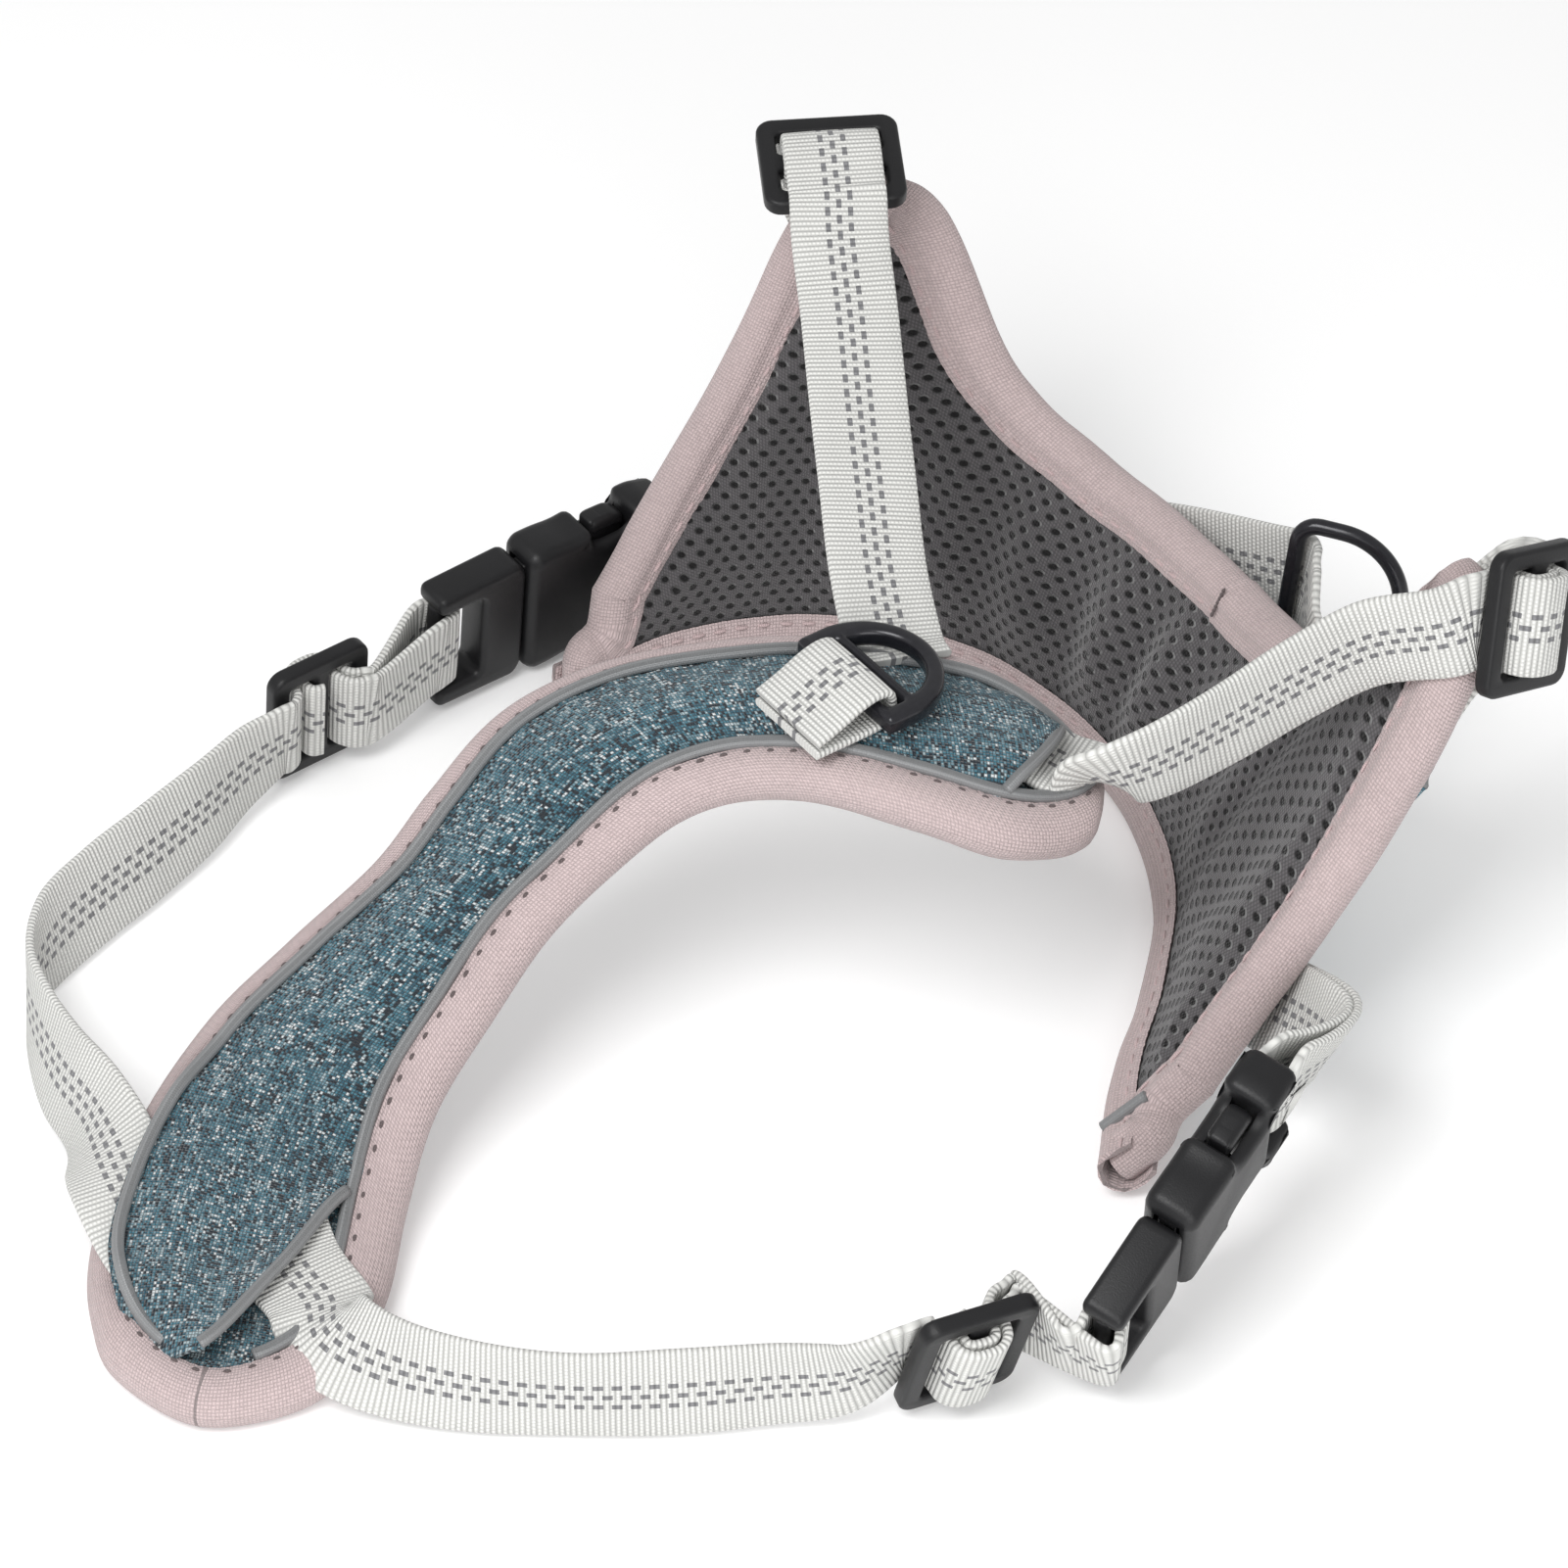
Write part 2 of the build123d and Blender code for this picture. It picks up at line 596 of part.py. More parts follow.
def make_neck_webbings():
    way = Vector(0.97, 0.20, -0.12).normalized()
    sewn = [(chest_point(36.4, 0.15, 4.3), way), (chest_point(36.2, 0.02, 4.4), way)]
    run = free_run([
        ((15.6, 23, 62.5), (0.97, 0.22, -0.14)), ((14.3, 36, 67.3), (0.97, 0.20, -0.12)),
        ((13.0, 50, 72.4), (0.98, 0.15, -0.08)), ((11.7, 65, 78.2), (0.99, 0.12, -0.05)),
        ((10.4, 77, 83.0), (0.99, 0.11, -0.02)),
    ])
    over_places = ((9.8, -3.6), (12.6, -6.2), (13.8, -10.5), (13.0, -15.5))
    back_places_local = ((11.3, -14.8), (11.9, -10.6), (10.6, -7.4))
    over = [(in_frame(left_neck_frame, x, y), left_neck_frame[3]) for x, y in over_places]
    back = [(in_frame(left_neck_frame, x, y), left_neck_frame[3]) for x, y in back_places_local]
    down = [down_back(0.22, height, 5.9) for height in (68, 60, 52, 45)]
    turn = [down_back(0.22, 43.2, 5.0)]
    up = [down_back(0.22, height, 4.2) for height in (45, 52, 60, 68)]
    route = sewn + run + through_adjuster(left_neck_frame) + over + down + turn + up + back
    make_ribbon("left_neck_webbing", route + round_centre_bar(left_neck_frame)[1:])

    sewn = sewn_to_chest([(39.5, 0.44, 4.3), (41.5, 0.50, 4.3), (44.0, 0.58, 5.0)], 1)
    run = free_run([
        ((49, -13.5, 53.0), (0.30, 0.35, -0.88)), ((56, -12.5, 55.4), (0.15, 0.10, -0.98)),
        ((66, -7, 57.8), (0.18, 0.02, -0.98)), ((76, -2, 61.6), (0.24, 0.0, -0.97)),
        ((86, 0.9, 65.8), (0.20, -0.06, -0.98)), ((96, -1.0, 69.2), (0.16, -0.13, -0.98)),
    ])
    way = right_neck_frame[3]
    over = [(in_frame(right_neck_frame, x, y), way) for x, y in ((9.4, -3.6), (11.6, -6.6), (10.4, -10.4))]
    back = [(in_frame(right_neck_frame, x, y), way) for x, y in ((8.8, -9.2), (9.4, -6.8), (8.0, -5.0))]
    into = [on_back(u, height, 5.9, -1) for u, height in ((0.745, 52), (0.775, 50), (0.80, 48))]
    turn = [on_back(0.808, 47.5, 5.0, -1)]
    out = [on_back(u, height, 4.2, -1) for u, height in ((0.80, 48), (0.775, 50), (0.745, 52))]
    route = sewn + run + through_adjuster(right_neck_frame) + over + into + turn + out + back
    make_ribbon("right_neck_webbing", route + round_centre_bar(right_neck_frame)[1:])


def down_back(place, height, off):
    """Lying on the back panel and running down it, with its width along the rear edge."""
    run = (back_foot(place + 0.01) - back_foot(place - 0.01)).normalized()
    return back_point(place, height, off), run


def make_buckle_webbings():
    """The short loops that hold the female halves to the back panel."""
    loop = [(31, 2.4), (27.6, 2.6), (25.4, 1.9), (24.6, 0), (25.4, -1.9), (27.6, -2.6), (31, -2.0)]
    left = [(in_frame(left_mouth, x, y), left_mouth[3]) for x, y in loop]
    into = [on_back(0.31, 14, 5.6), on_back(0.27, 14, 6.0)] + free_run([((-4, 98.4, 13.6), left_girth_across)])
    out = free_run([((-3.4, 96.6, 13.6), left_girth_across)]) + [on_back(0.27, 14, 4.3), on_back(0.31, 14, 3.95)]
    make_ribbon("left_buckle_webbing", into + left + out)
    right = [(in_frame(right_mouth, x, y), right_mouth[3]) for x, y in loop]
    way = (-0.35, 0.3, -0.87)
    into = [on_back(0.80, 20, 5.6, -1), on_back(0.85, 20, 6.0, -1)] + free_run([((80.5, -37, 24), way)])
    out = free_run([((79.0, -38, 24.8), way)]) + [on_back(0.85, 20, 4.3, -1), on_back(0.80, 20, 3.95, -1)]
    make_ribbon("right_buckle_webbing", into + right + out)


def make_handle():
    """The webbing handle sewn across the back, drawn up to a point by the wire ring."""
    route = [on_back(0.335, 24, 4.2), on_back(0.37, 25, 4.4)]
    route += free_run([
        ((60, 69.0, 31.0), (0.20, 0.15, 0.97)), ((78.2, 55.0, 37.0), back_ring_up),
        ((81.4, 52.6, 37.9), back_ring_up), ((82.4, 50.0, 38.0), back_ring_up),
        ((82.2, 47.0, 37.8), back_ring_up), ((81.8, 42.0, 36.2), back_ring_up),
        ((80.5, 33.0, 29.5), (0.34, 0.08, 0.93)),
    ])
    route += [on_back(0.63, 24, 4.6), on_back(0.665, 23, 4.2)]
    make_ribbon("handle_webbing", route)


def make_front_tab():
    """The tab that holds the moulded ring: over its bar, through its slot and back under."""
    frame = fitting_frame(front_ring_place, front_ring_out, front_ring_across)
    places = [
        (-11.5, -1.2), (-7.5, 0.4), (-4, 2.1), (-0.9, 2.9), (1.4, 2.3), (2.05, 0), (1.4, -2.4),
        (-0.9, -3.0), (-4, -3.1), (-8, -3.1), (-11.5, -3.1),
    ]
    make_ribbon("front_ring_tab", [(in_frame(frame, x, y), frame[3]) for x, y in places])


left_girth_frame = fitting_frame(left_adjuster, left_girth_ahead, left_girth_across)
left_bar_frame = fitting_frame(left_bar, left_girth_ahead, left_girth_across)
right_adjuster_frame = fitting_frame(right_adjuster, right_adjuster_ahead, right_adjuster_across)
right_bar_frame = fitting_frame(right_bar, right_buckle_ahead, right_buckle_across)
left_mouth = shifted(left_bar_frame, bar_to_mouth)
right_mouth = shifted(right_bar_frame, bar_to_mouth)
left_neck_frame = fitting_frame(left_neck_adjuster, left_neck_ahead, left_neck_across)
right_neck_frame = fitting_frame(right_neck_adjuster, right_neck_ahead, right_neck_across)

make_back_layer("back_outer_fabric", 2.45, fabric_thickness)
make_back_layer("back_padding", 0.15, padding_thickness)
make_back_layer("back_mesh_lining", -2.3, lining_thickness)
make_back_bindings()
make_back_pipings()
make_chest_layer("chest_outer_fabric", 2.45, fabric_thickness)
make_chest_layer("chest_padding", 0.15, padding_thickness)
make_chest_layer("chest_mesh_lining", -2.3, lining_thickness)
make_chest_bindings()
make_chest_pipings()
make_back_pocket("left_neck_pocket", 0.175, 0.265, 40, 62, 2)
make_back_pocket("right_neck_pocket", 0.765, 0.825, 37, 58, 2)
make_back_pocket("left_buckle_pocket", 0.275, 0.345, 5, 23, 2)
make_back_pocket("right_buckle_pocket", 0.765, 0.845, 9, 30, 2)
make_chest_pocket("chest_rear_pocket", 6, 11, 0.12, 0.80)
make_chest_pocket("chest_front_pocket", 38, 42, 0.14, 0.84)
for fitting, fitting_place in (
    ("left_girth_adjuster", left_girth_frame), ("right_girth_adjuster", right_adjuster_frame),
    ("left_neck_adjuster", left_neck_frame), ("right_neck_adjuster", right_neck_frame),
):
    make_adjuster(fitting, fitting_place)
for hand, mouth, up in (("left", left_mouth, -1), ("right", right_mouth, 1)):
    make_male(hand + "_buckle_male", mouth)
    make_arm(hand + "_buckle_upper_arm", mouth, up)
    make_arm(hand + "_buckle_lower_arm", mouth, -up)
    make_female(hand + "_buckle_female", mouth)
make_back_ring()
make_front_ring()
make_girth_webbings()
make_neck_webbings()
make_buckle_webbings()
make_handle()
make_front_tab()
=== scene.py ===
import math
import random

import bpy
from mathutils import Matrix, Vector, noise


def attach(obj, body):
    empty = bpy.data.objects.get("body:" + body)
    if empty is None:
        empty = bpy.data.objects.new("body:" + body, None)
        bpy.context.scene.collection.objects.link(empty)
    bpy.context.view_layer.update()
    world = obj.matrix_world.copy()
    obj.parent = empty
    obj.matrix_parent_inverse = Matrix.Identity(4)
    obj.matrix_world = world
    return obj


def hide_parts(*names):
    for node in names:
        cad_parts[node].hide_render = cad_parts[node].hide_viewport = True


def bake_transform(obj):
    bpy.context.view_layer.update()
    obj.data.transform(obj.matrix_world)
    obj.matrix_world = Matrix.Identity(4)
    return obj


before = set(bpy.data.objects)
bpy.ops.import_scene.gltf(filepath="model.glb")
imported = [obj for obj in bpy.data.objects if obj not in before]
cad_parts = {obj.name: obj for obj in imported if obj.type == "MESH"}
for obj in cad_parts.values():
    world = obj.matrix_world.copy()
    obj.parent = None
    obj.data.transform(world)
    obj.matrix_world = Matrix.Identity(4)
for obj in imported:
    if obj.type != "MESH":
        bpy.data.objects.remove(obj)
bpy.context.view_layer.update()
random.seed(4)

# ---------------------------------------------------------------- driving dimensions (mm, in the part's layout)
MM = 0.001
origin_shift = Vector((-2.6, -6.8, 0.03))
webbing_width = 15.0
webbing_thickness = 1.3
tape_width = 7.3
piping_radius = 0.95
stitch_length = 2.2
stitch_pitch = 3.6

rear_edge = [
    (-33, 64, 1.2), (-17, 75, 1.2), (4, 80, 1.2), (26, 75, 1.2), (44, 60, 1.2),
    (56, 38, 1.4), (60, 14, 1.8), (57, -8, 2.3), (51, -28, 2.8), (48, -46, 3.0),
]
rise = [
    (0.0, (0.0, 0.30, 0.95)), (0.22, (0.06, 0.27, 0.96)), (0.50, (0.34, 0.12, 0.93)),
    (0.66, (0.47, -0.04, 0.88)), (0.77, (0.53, 0.25, 0.80)), (0.86, (0.64, 0.0, 0.77)),
    (1.0, (0.75, 0.10, 0.65)),
]
half_outline = [
    (0.0, 45), (0.15, 46), (0.27, 49.5), (0.34, 55), (0.385, 64), (0.42, 73), (0.46, 80), (0.53, 82),
    (0.60, 80), (0.65, 71), (0.69, 59), (0.75, 46), (0.83, 33), (0.91, 21.5), (1.0, 12),
]
chest_far_edge = [
    (-90, -90.5, 3.4), (-95, -78, 3.6), (-97, -63, 5), (-92, -43, 10), (-82, -28, 18), (-70, -19, 26),
    (-58, -10, 33), (-50, -2, 40), (-40, 8, 46), (-26, 14, 50), (-11, 15, 53), (3, 14, 55),
    (16, 13, 54), (28, 13, 51), (38, 9, 47), (44, 3, 45), (47, -5, 44),
]
chest_near_edge = [
    (-70, -95.5, 3.4), (-60, -85, 3.4), (-54.5, -71, 3.7), (-52, -55, 7), (-48, -43, 15), (-40, -32, 23),
    (-32, -22, 30), (-22, -15, 37), (-14, -12, 43), (-7, -12, 47), (1, -14, 50),
    (10, -18, 52), (22, -22, 51), (33, -24, 48), (41, -21, 45), (46, -17, 44), (48.5, -11, 43.5),
]

left_girth_ahead = (0.78, 0.62, 0.0)
left_girth_across = (0.05, -0.12, 0.99)
left_bar = (-53.5, 66.5, 13.6)
right_buckle_ahead = (0.55, 0.74, 0.37)
right_buckle_across = (0.05, 0.47, -0.88)
right_bar = (46, -86, 12.6)
left_adjuster = (-71.5, 52.2, 11.9)
right_adjuster = (27, -88, 11.6)
right_adjuster_ahead = (0.88, 0.42, -0.05)
right_adjuster_across = (-0.20, 0.25, -0.95)
left_neck_adjuster = (9, 91, 88)
left_neck_ahead = (-0.1, 0.95, 0.22)
left_neck_across = (0.99, 0.11, 0.0)
right_neck_adjuster = (109, 3.9, 68.1)
right_neck_ahead = (0.72, 0.62, -0.30)
right_neck_across = (0.15, -0.14, -0.98)
back_ring_place = (79.5, 50.5, 38)
back_ring_up = (0.12, 0.17, 0.98)
back_ring_out = (0.95, -0.30, -0.05)
front_ring_place = (11.5, -3.5, 62.0)
front_ring_across = (0.68, -0.73, -0.05)
front_ring_out = (0.80, 0.60, -0.02)
bar_to_mouth = 15.5


# ---------------------------------------------------------------- curves and directions
def spot(point):
    return Vector(point) + origin_shift


def mixed(a, b, share):
    return a + (b - a) * share


def curve_at(points, place):
    """A Catmull-Rom curve through the points; place counts the spans."""
    last = len(points) - 1
    index = min(max(int(place), 0), last - 1)
    t = place - index
    start, end = points[index], points[index + 1]
    before = points[index - 1] if index > 0 else start * 2 - end
    after = points[index + 2] if index + 2 <= last else end * 2 - start
    return (
        start * 2
        + (end - before) * t
        + (before * 2 - start * 5 + end * 4 - after) * t ** 2
        + (start * 3 - before - end * 3 + after) * t ** 3
    ) * 0.5


def lengths(points):
    """How far along a line of points each one is."""
    reach = [0.0]
    for a, b in zip(points, points[1:]):
        reach.append(reach[-1] + (b - a).length)
    return reach


def evenly(points, count):
    reach = lengths(points)
    places = []
    index = 0
    for number in range(count):
        wanted = reach[-1] * number / (count - 1)
        while index < len(points) - 2 and reach[index + 1] < wanted:
            index += 1
        share = (wanted - reach[index]) / max(reach[index + 1] - reach[index], 1e-9)
        places.append(mixed(points[index], points[index + 1], share))
    return places


def read_at(rows, place):
    for (a, low), (b, high) in zip(rows, rows[1:]):
        if place <= b:
            share = max(0.0, (place - a) / (b - a))
            if isinstance(low, tuple):
                return mixed(Vector(low), Vector(high), share)
            return low + (high - low) * share
    last = rows[-1][1]
    return Vector(last) if isinstance(last, tuple) else last


def blurred(rows, place, reach):
    """The table's value averaged over a short reach, so that it has no corners."""
    steps = (-1.0, -0.5, 0.0, 0.5, 1.0)
    total = read_at(rows, place + steps[0] * reach)
    for step in steps[1:]:
        total = total + read_at(rows, place + step * reach)
    return total / len(steps) if isinstance(total, float) else total / len(steps)


def heading(points, index):
    return (points[min(index + 1, len(points) - 1)] - points[max(index - 1, 0)]).normalized()


def square_to(direction, axis):
    return (direction - axis * direction.dot(axis)).normalized()


def fitting_frame(place, ahead, across):
    along = Vector(ahead).normalized()
    cross_way = square_to(Vector(across), along)
    return spot(place), along, cross_way.cross(along), cross_way


def in_frame(frame_of, x, y, z=0.0):
    place, along, face, cross_way = frame_of
    return place + along * x + face * y + cross_way * z


def shifted(frame_of, x):
    place, along, face, cross_way = frame_of
    return place + along * x, along, face, cross_way


def ripple(point, scale, seed=0.0):
    """Smooth noise from -1 to 1 that varies over about the scale."""
    return noise.noise(point / scale + Vector((seed, seed * 0.7, -seed)))


# ---------------------------------------------------------------- meshes
def new_piece(name, verts, faces, uvs, material, body):
    mesh = bpy.data.meshes.new(name)
    mesh.from_pydata([v * MM for v in verts], [], faces)
    layer = mesh.uv_layers.new(name="fabric")
    for polygon in mesh.polygons:
        for loop in polygon.loop_indices:
            u, v = uvs[mesh.loops[loop].vertex_index]
            layer.data[loop].uv = (u * MM, v * MM)
    mesh.polygons.foreach_set("use_smooth", [True] * len(mesh.polygons))
    mesh.materials.append(material)
    piece = bpy.data.objects.new(name, mesh)
    bpy.context.scene.collection.objects.link(piece)
    if body:
        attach(piece, body)
    return piece


def tube(name, sections, uvs, material, body, closed=False):
    """A skin through closed sections, each a list of points, capped at its ends unless it is closed."""
    count, ring = len(sections), len(sections[0])
    verts = [point for section in sections for point in section]
    flat_uvs = [uv for row in uvs for uv in row]
    faces = []
    for row in range(count if closed else count - 1):
        following = (row + 1) % count
        for k in range(ring):
            after = (k + 1) % ring
            faces.append((row * ring + k, row * ring + after, following * ring + after, following * ring + k))
    if not closed:
        faces.append(tuple(reversed(range(ring))))
        faces.append(tuple((count - 1) * ring + k for k in range(ring)))
    return new_piece(name, verts, faces, flat_uvs, material, body)


def cloth_sheet(name, grid, uvs, thickness, material, body):
    """A closed sheet: the grid of points, and a copy of it set back by the thickness."""
    rows, columns = len(grid), len(grid[0])
    normals = []
    for r in range(rows):
        for c in range(columns):
            du = grid[min(r + 1, rows - 1)][c] - grid[max(r - 1, 0)][c]
            dv = grid[r][min(c + 1, columns - 1)] - grid[r][max(c - 1, 0)]
            normal = du.cross(dv)
            normals.append(normal.normalized() if normal.length > 1e-9 else Vector((0, 0, 1)))
    front = [grid[r][c] for r in range(rows) for c in range(columns)]
    back = [point - normal * thickness for point, normal in zip(front, normals)]
    flat = [uvs[r][c] for r in range(rows) for c in range(columns)]
    total = rows * columns
    faces = []
    for r in range(rows - 1):
        for c in range(columns - 1):
            a, b = r * columns + c, r * columns + c + 1
            d, e = a + columns, b + columns
            faces.append((a, d, e, b))
            faces.append((total + a, total + b, total + e, total + d))
    rim = [c for c in range(columns)]
    rim += [r * columns + columns - 1 for r in range(1, rows)]
    rim += [(rows - 1) * columns + c for c in range(columns - 2, -1, -1)]
    rim += [r * columns for r in range(rows - 2, 0, -1)]
    for k, a in enumerate(rim):
        b = rim[(k + 1) % len(rim)]
        faces.append((a, b, total + b, total + a))
    return new_piece(name, front + back, faces, flat + flat, material, body)


def ribbon_section(thickness=webbing_thickness):
    """The rounded section of the webbing as (across, out) places."""
    half, t = webbing_width / 2, thickness / 2
    side = [(-half, 0.0), (-half + 0.12, 0.72 * t), (-half + 0.45, t)]
    top = [(-half * share, t * 1.02) for share in (0.66, 0.33, 0.0, -0.33, -0.66)]
    upper = side + top + [(-x, y) for x, y in reversed(side)]
    lower = [(-x, -y) for x, y in upper[1:-1]]
    return upper + lower


def ribbon(name, route, body, steps=8, sag=0.0):
    """A length of webbing along (point, direction across) rows."""
    points = [point for point, _ in route]
    ways = [way for _, way in route]
    centres, across = [], []
    for number in range((len(route) - 1) * steps + 1):
        place = number / steps
        centres.append(curve_at(points, place))
        across.append(curve_at(ways, place))
    reach = lengths(centres)
    section = ribbon_section()
    sections, uvs = [], []
    for index, centre in enumerate(centres):
        ahead = heading(centres, index)
        way = square_to(across[index], ahead)
        out = way.cross(ahead)
        wave = 0.25 * ripple(centre, 17.0, 3.0)
        sections.append([centre + way * x + out * (y + wave * (1 - (x / 7.5) ** 2)) for x, y in section])
        uvs.append([(x + webbing_width / 2, reach[index]) for x, _ in section])
    return tube(name, sections, uvs, webbing, body)


def round_cord(name, route, radius, material, body, closed=False, sides=10):
    centres = [point for point, _ in route]
    reach = lengths(centres)
    sections, uvs = [], []
    for index, (centre, face) in enumerate(route):
        if closed:
            ahead = (centres[(index + 1) % len(centres)] - centres[index - 1]).normalized()
        else:
            ahead = heading(centres, index)
        up = square_to(face, ahead)
        side = up.cross(ahead)
        row, uv_row = [], []
        for k in range(sides):
            turn = 2 * math.pi * k / sides
            row.append(centre + up * (radius * math.cos(turn)) + side * (radius * math.sin(turn)))
            uv_row.append((reach[index], radius * turn))
        sections.append(row)
        uvs.append(uv_row)
    return tube(name, sections, uvs, material, body, closed)


def stitches(name, places, material, length=stitch_length, thick=0.32):
    """Thread stitches, one mesh: each a bead with pointed ends, at (centre, ahead, up) places."""
    verts, faces, uvs = [], [], []
    rings = [(-0.5, 0.15, -0.35), (-0.32, 0.8, 0.0), (0.0, 1.0, 0.15), (0.32, 0.8, 0.0), (0.5, 0.15, -0.35)]
    sides = 6
    for centre, ahead, up in places:
        side = up.cross(ahead).normalized()
        start = len(verts)
        for x, size, lift in rings:
            for k in range(sides):
                turn = 2 * math.pi * k / sides
                around = up * (thick * size * math.cos(turn) * 0.7 + thick * lift) + side * (thick * size * math.sin(turn))
                verts.append(centre + ahead * (x * length) + around)
                uvs.append((x * length + 1, thick * turn))
        for ring in range(len(rings) - 1):
            for k in range(sides):
                after = (k + 1) % sides
                a = start + ring * sides
                faces.append((a + k, a + after, a + sides + after, a + sides + k))
        faces.append(tuple(start + k for k in reversed(range(sides))))
        faces.append(tuple(start + (len(rings) - 1) * sides + k for k in range(sides)))
    return new_piece(name, verts, faces, uvs, material, "root")


def along_line(points, faces_out, pitch, start=0.0):
    """Evenly spaced (centre, ahead, up) places along a line of points."""
    reach = lengths(points)
    places = []
    wanted = start
    index = 0
    while wanted < reach[-1]:
        while reach[index + 1] < wanted:
            index += 1
        share = (wanted - reach[index]) / (reach[index + 1] - reach[index])
        centre = mixed(points[index], points[index + 1], share)
        ahead = (points[index + 1] - points[index]).normalized()
        ahead = (ahead + Vector([random.uniform(-0.06, 0.06) for _ in range(3)])).normalized()
        places.append((centre, ahead, square_to(faces_out[index], ahead)))
        wanted += pitch
    return places


def plate(outlines, thickness, bevel, bend=None, lift=0.0):
    """The verts and faces of a flat moulded plate with rounded edges; the outlines after the first are holes."""
    curve = bpy.data.curves.new("plate", "CURVE")
    curve.dimensions = "2D"
    curve.fill_mode = "BOTH"
    curve.extrude = thickness / 2 - bevel
    curve.bevel_depth = bevel
    curve.bevel_resolution = 3
    curve.offset = -bevel
    for outline in outlines:
        spline = curve.splines.new("POLY")
        spline.points.add(len(outline) - 1)
        for point, (x, y) in zip(spline.points, outline):
            point.co = (x, y, 0, 1)
        spline.use_cyclic_u = True
    holder = bpy.data.objects.new("plate", curve)
    bpy.context.scene.collection.objects.link(holder)
    bpy.context.view_layer.update()
    mesh = bpy.data.meshes.new_from_object(holder.evaluated_get(bpy.context.evaluated_depsgraph_get()))
    bpy.data.objects.remove(holder)
    bpy.data.curves.remove(curve)
    verts = [Vector((v.co.x, v.co.y, v.co.z + lift)) for v in mesh.vertices]
    if bend:
        verts = [Vector((v.x, v.y, v.z + bend(v.x, v.y))) for v in verts]
    faces = [tuple(p.vertices) for p in mesh.polygons]
    bpy.data.meshes.remove(mesh)
    return verts, faces


def moulding(name, plates, frame_of, body, node, material=None):
    """Plates joined in one piece and placed in a fitting's frame."""
    place, along, face, _ = frame_of
    side = face.cross(along)
    verts, faces = [], []
    for plate_verts, plate_faces in plates:
        start = len(verts)
        verts += [place + along * v.x + side * v.y + face * v.z for v in plate_verts]
        faces += [tuple(start + k for k in polygon) for polygon in plate_faces]
    uvs = [(v.x, v.y) for v in verts]
    piece = new_piece(name, verts, faces, uvs, material or plastic, body)
    piece.data.validate()
    weld = piece.modifiers.new("weld", "WELD")
    weld.merge_threshold = 0.00002
    smooth_by_angle(piece)
    if node:
        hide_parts(node)
    return piece


def smooth_by_angle(piece, angle=math.radians(40)):
    """Keeps edges sharper than the angle crisp, in the mesh itself."""
    import bmesh
    work = bmesh.new()
    work.from_mesh(piece.data)
    bmesh.ops.remove_doubles(work, verts=work.verts, dist=0.00002)
    for edge in work.edges:
        if len(edge.link_faces) == 2 and edge.calc_face_angle(0.0) > angle:
            edge.smooth = False
    work.to_mesh(piece.data)
    work.free()


def rounded(x_low, x_high, half, radius, steps=6):
    """A rectangle with round corners as a list of points."""
    points = []
    corners = ((x_high - radius, half - radius, 0), (x_low + radius, half - radius, 90),
               (x_low + radius, -half + radius, 180), (x_high - radius, -half + radius, 270))
    for x, y, start in corners:
        for step in range(steps + 1):
            turn = math.radians(start + 90 * step / steps)
            points.append((x + radius * math.cos(turn), y + radius * math.sin(turn)))
    return points


def arc(start, middle, end, steps=20):
    """Points of the circle's arc from start through middle to end."""
    (ax, ay), (bx, by), (cx, cy) = start, middle, end
    d = 2 * (ax * (by - cy) + bx * (cy - ay) + cx * (ay - by))
    a2, b2, c2 = ax * ax + ay * ay, bx * bx + by * by, cx * cx + cy * cy
    ux = (a2 * (by - cy) + b2 * (cy - ay) + c2 * (ay - by)) / d
    uy = (a2 * (cx - bx) + b2 * (ax - cx) + c2 * (bx - ax)) / d
    radius = math.hypot(ax - ux, ay - uy)
    first, last = math.atan2(ay - uy, ax - ux), math.atan2(cy - uy, cx - ux)
    half_way = math.atan2(by - uy, bx - ux)
    while last < first:
        last += 2 * math.pi
    turn = half_way
    while turn < first:
        turn += 2 * math.pi
    if turn > last:
        last -= 2 * math.pi
    return [
        (ux + radius * math.cos(first + (last - first) * k / steps),
         uy + radius * math.sin(first + (last - first) * k / steps))
        for k in range(steps + 1)
    ]


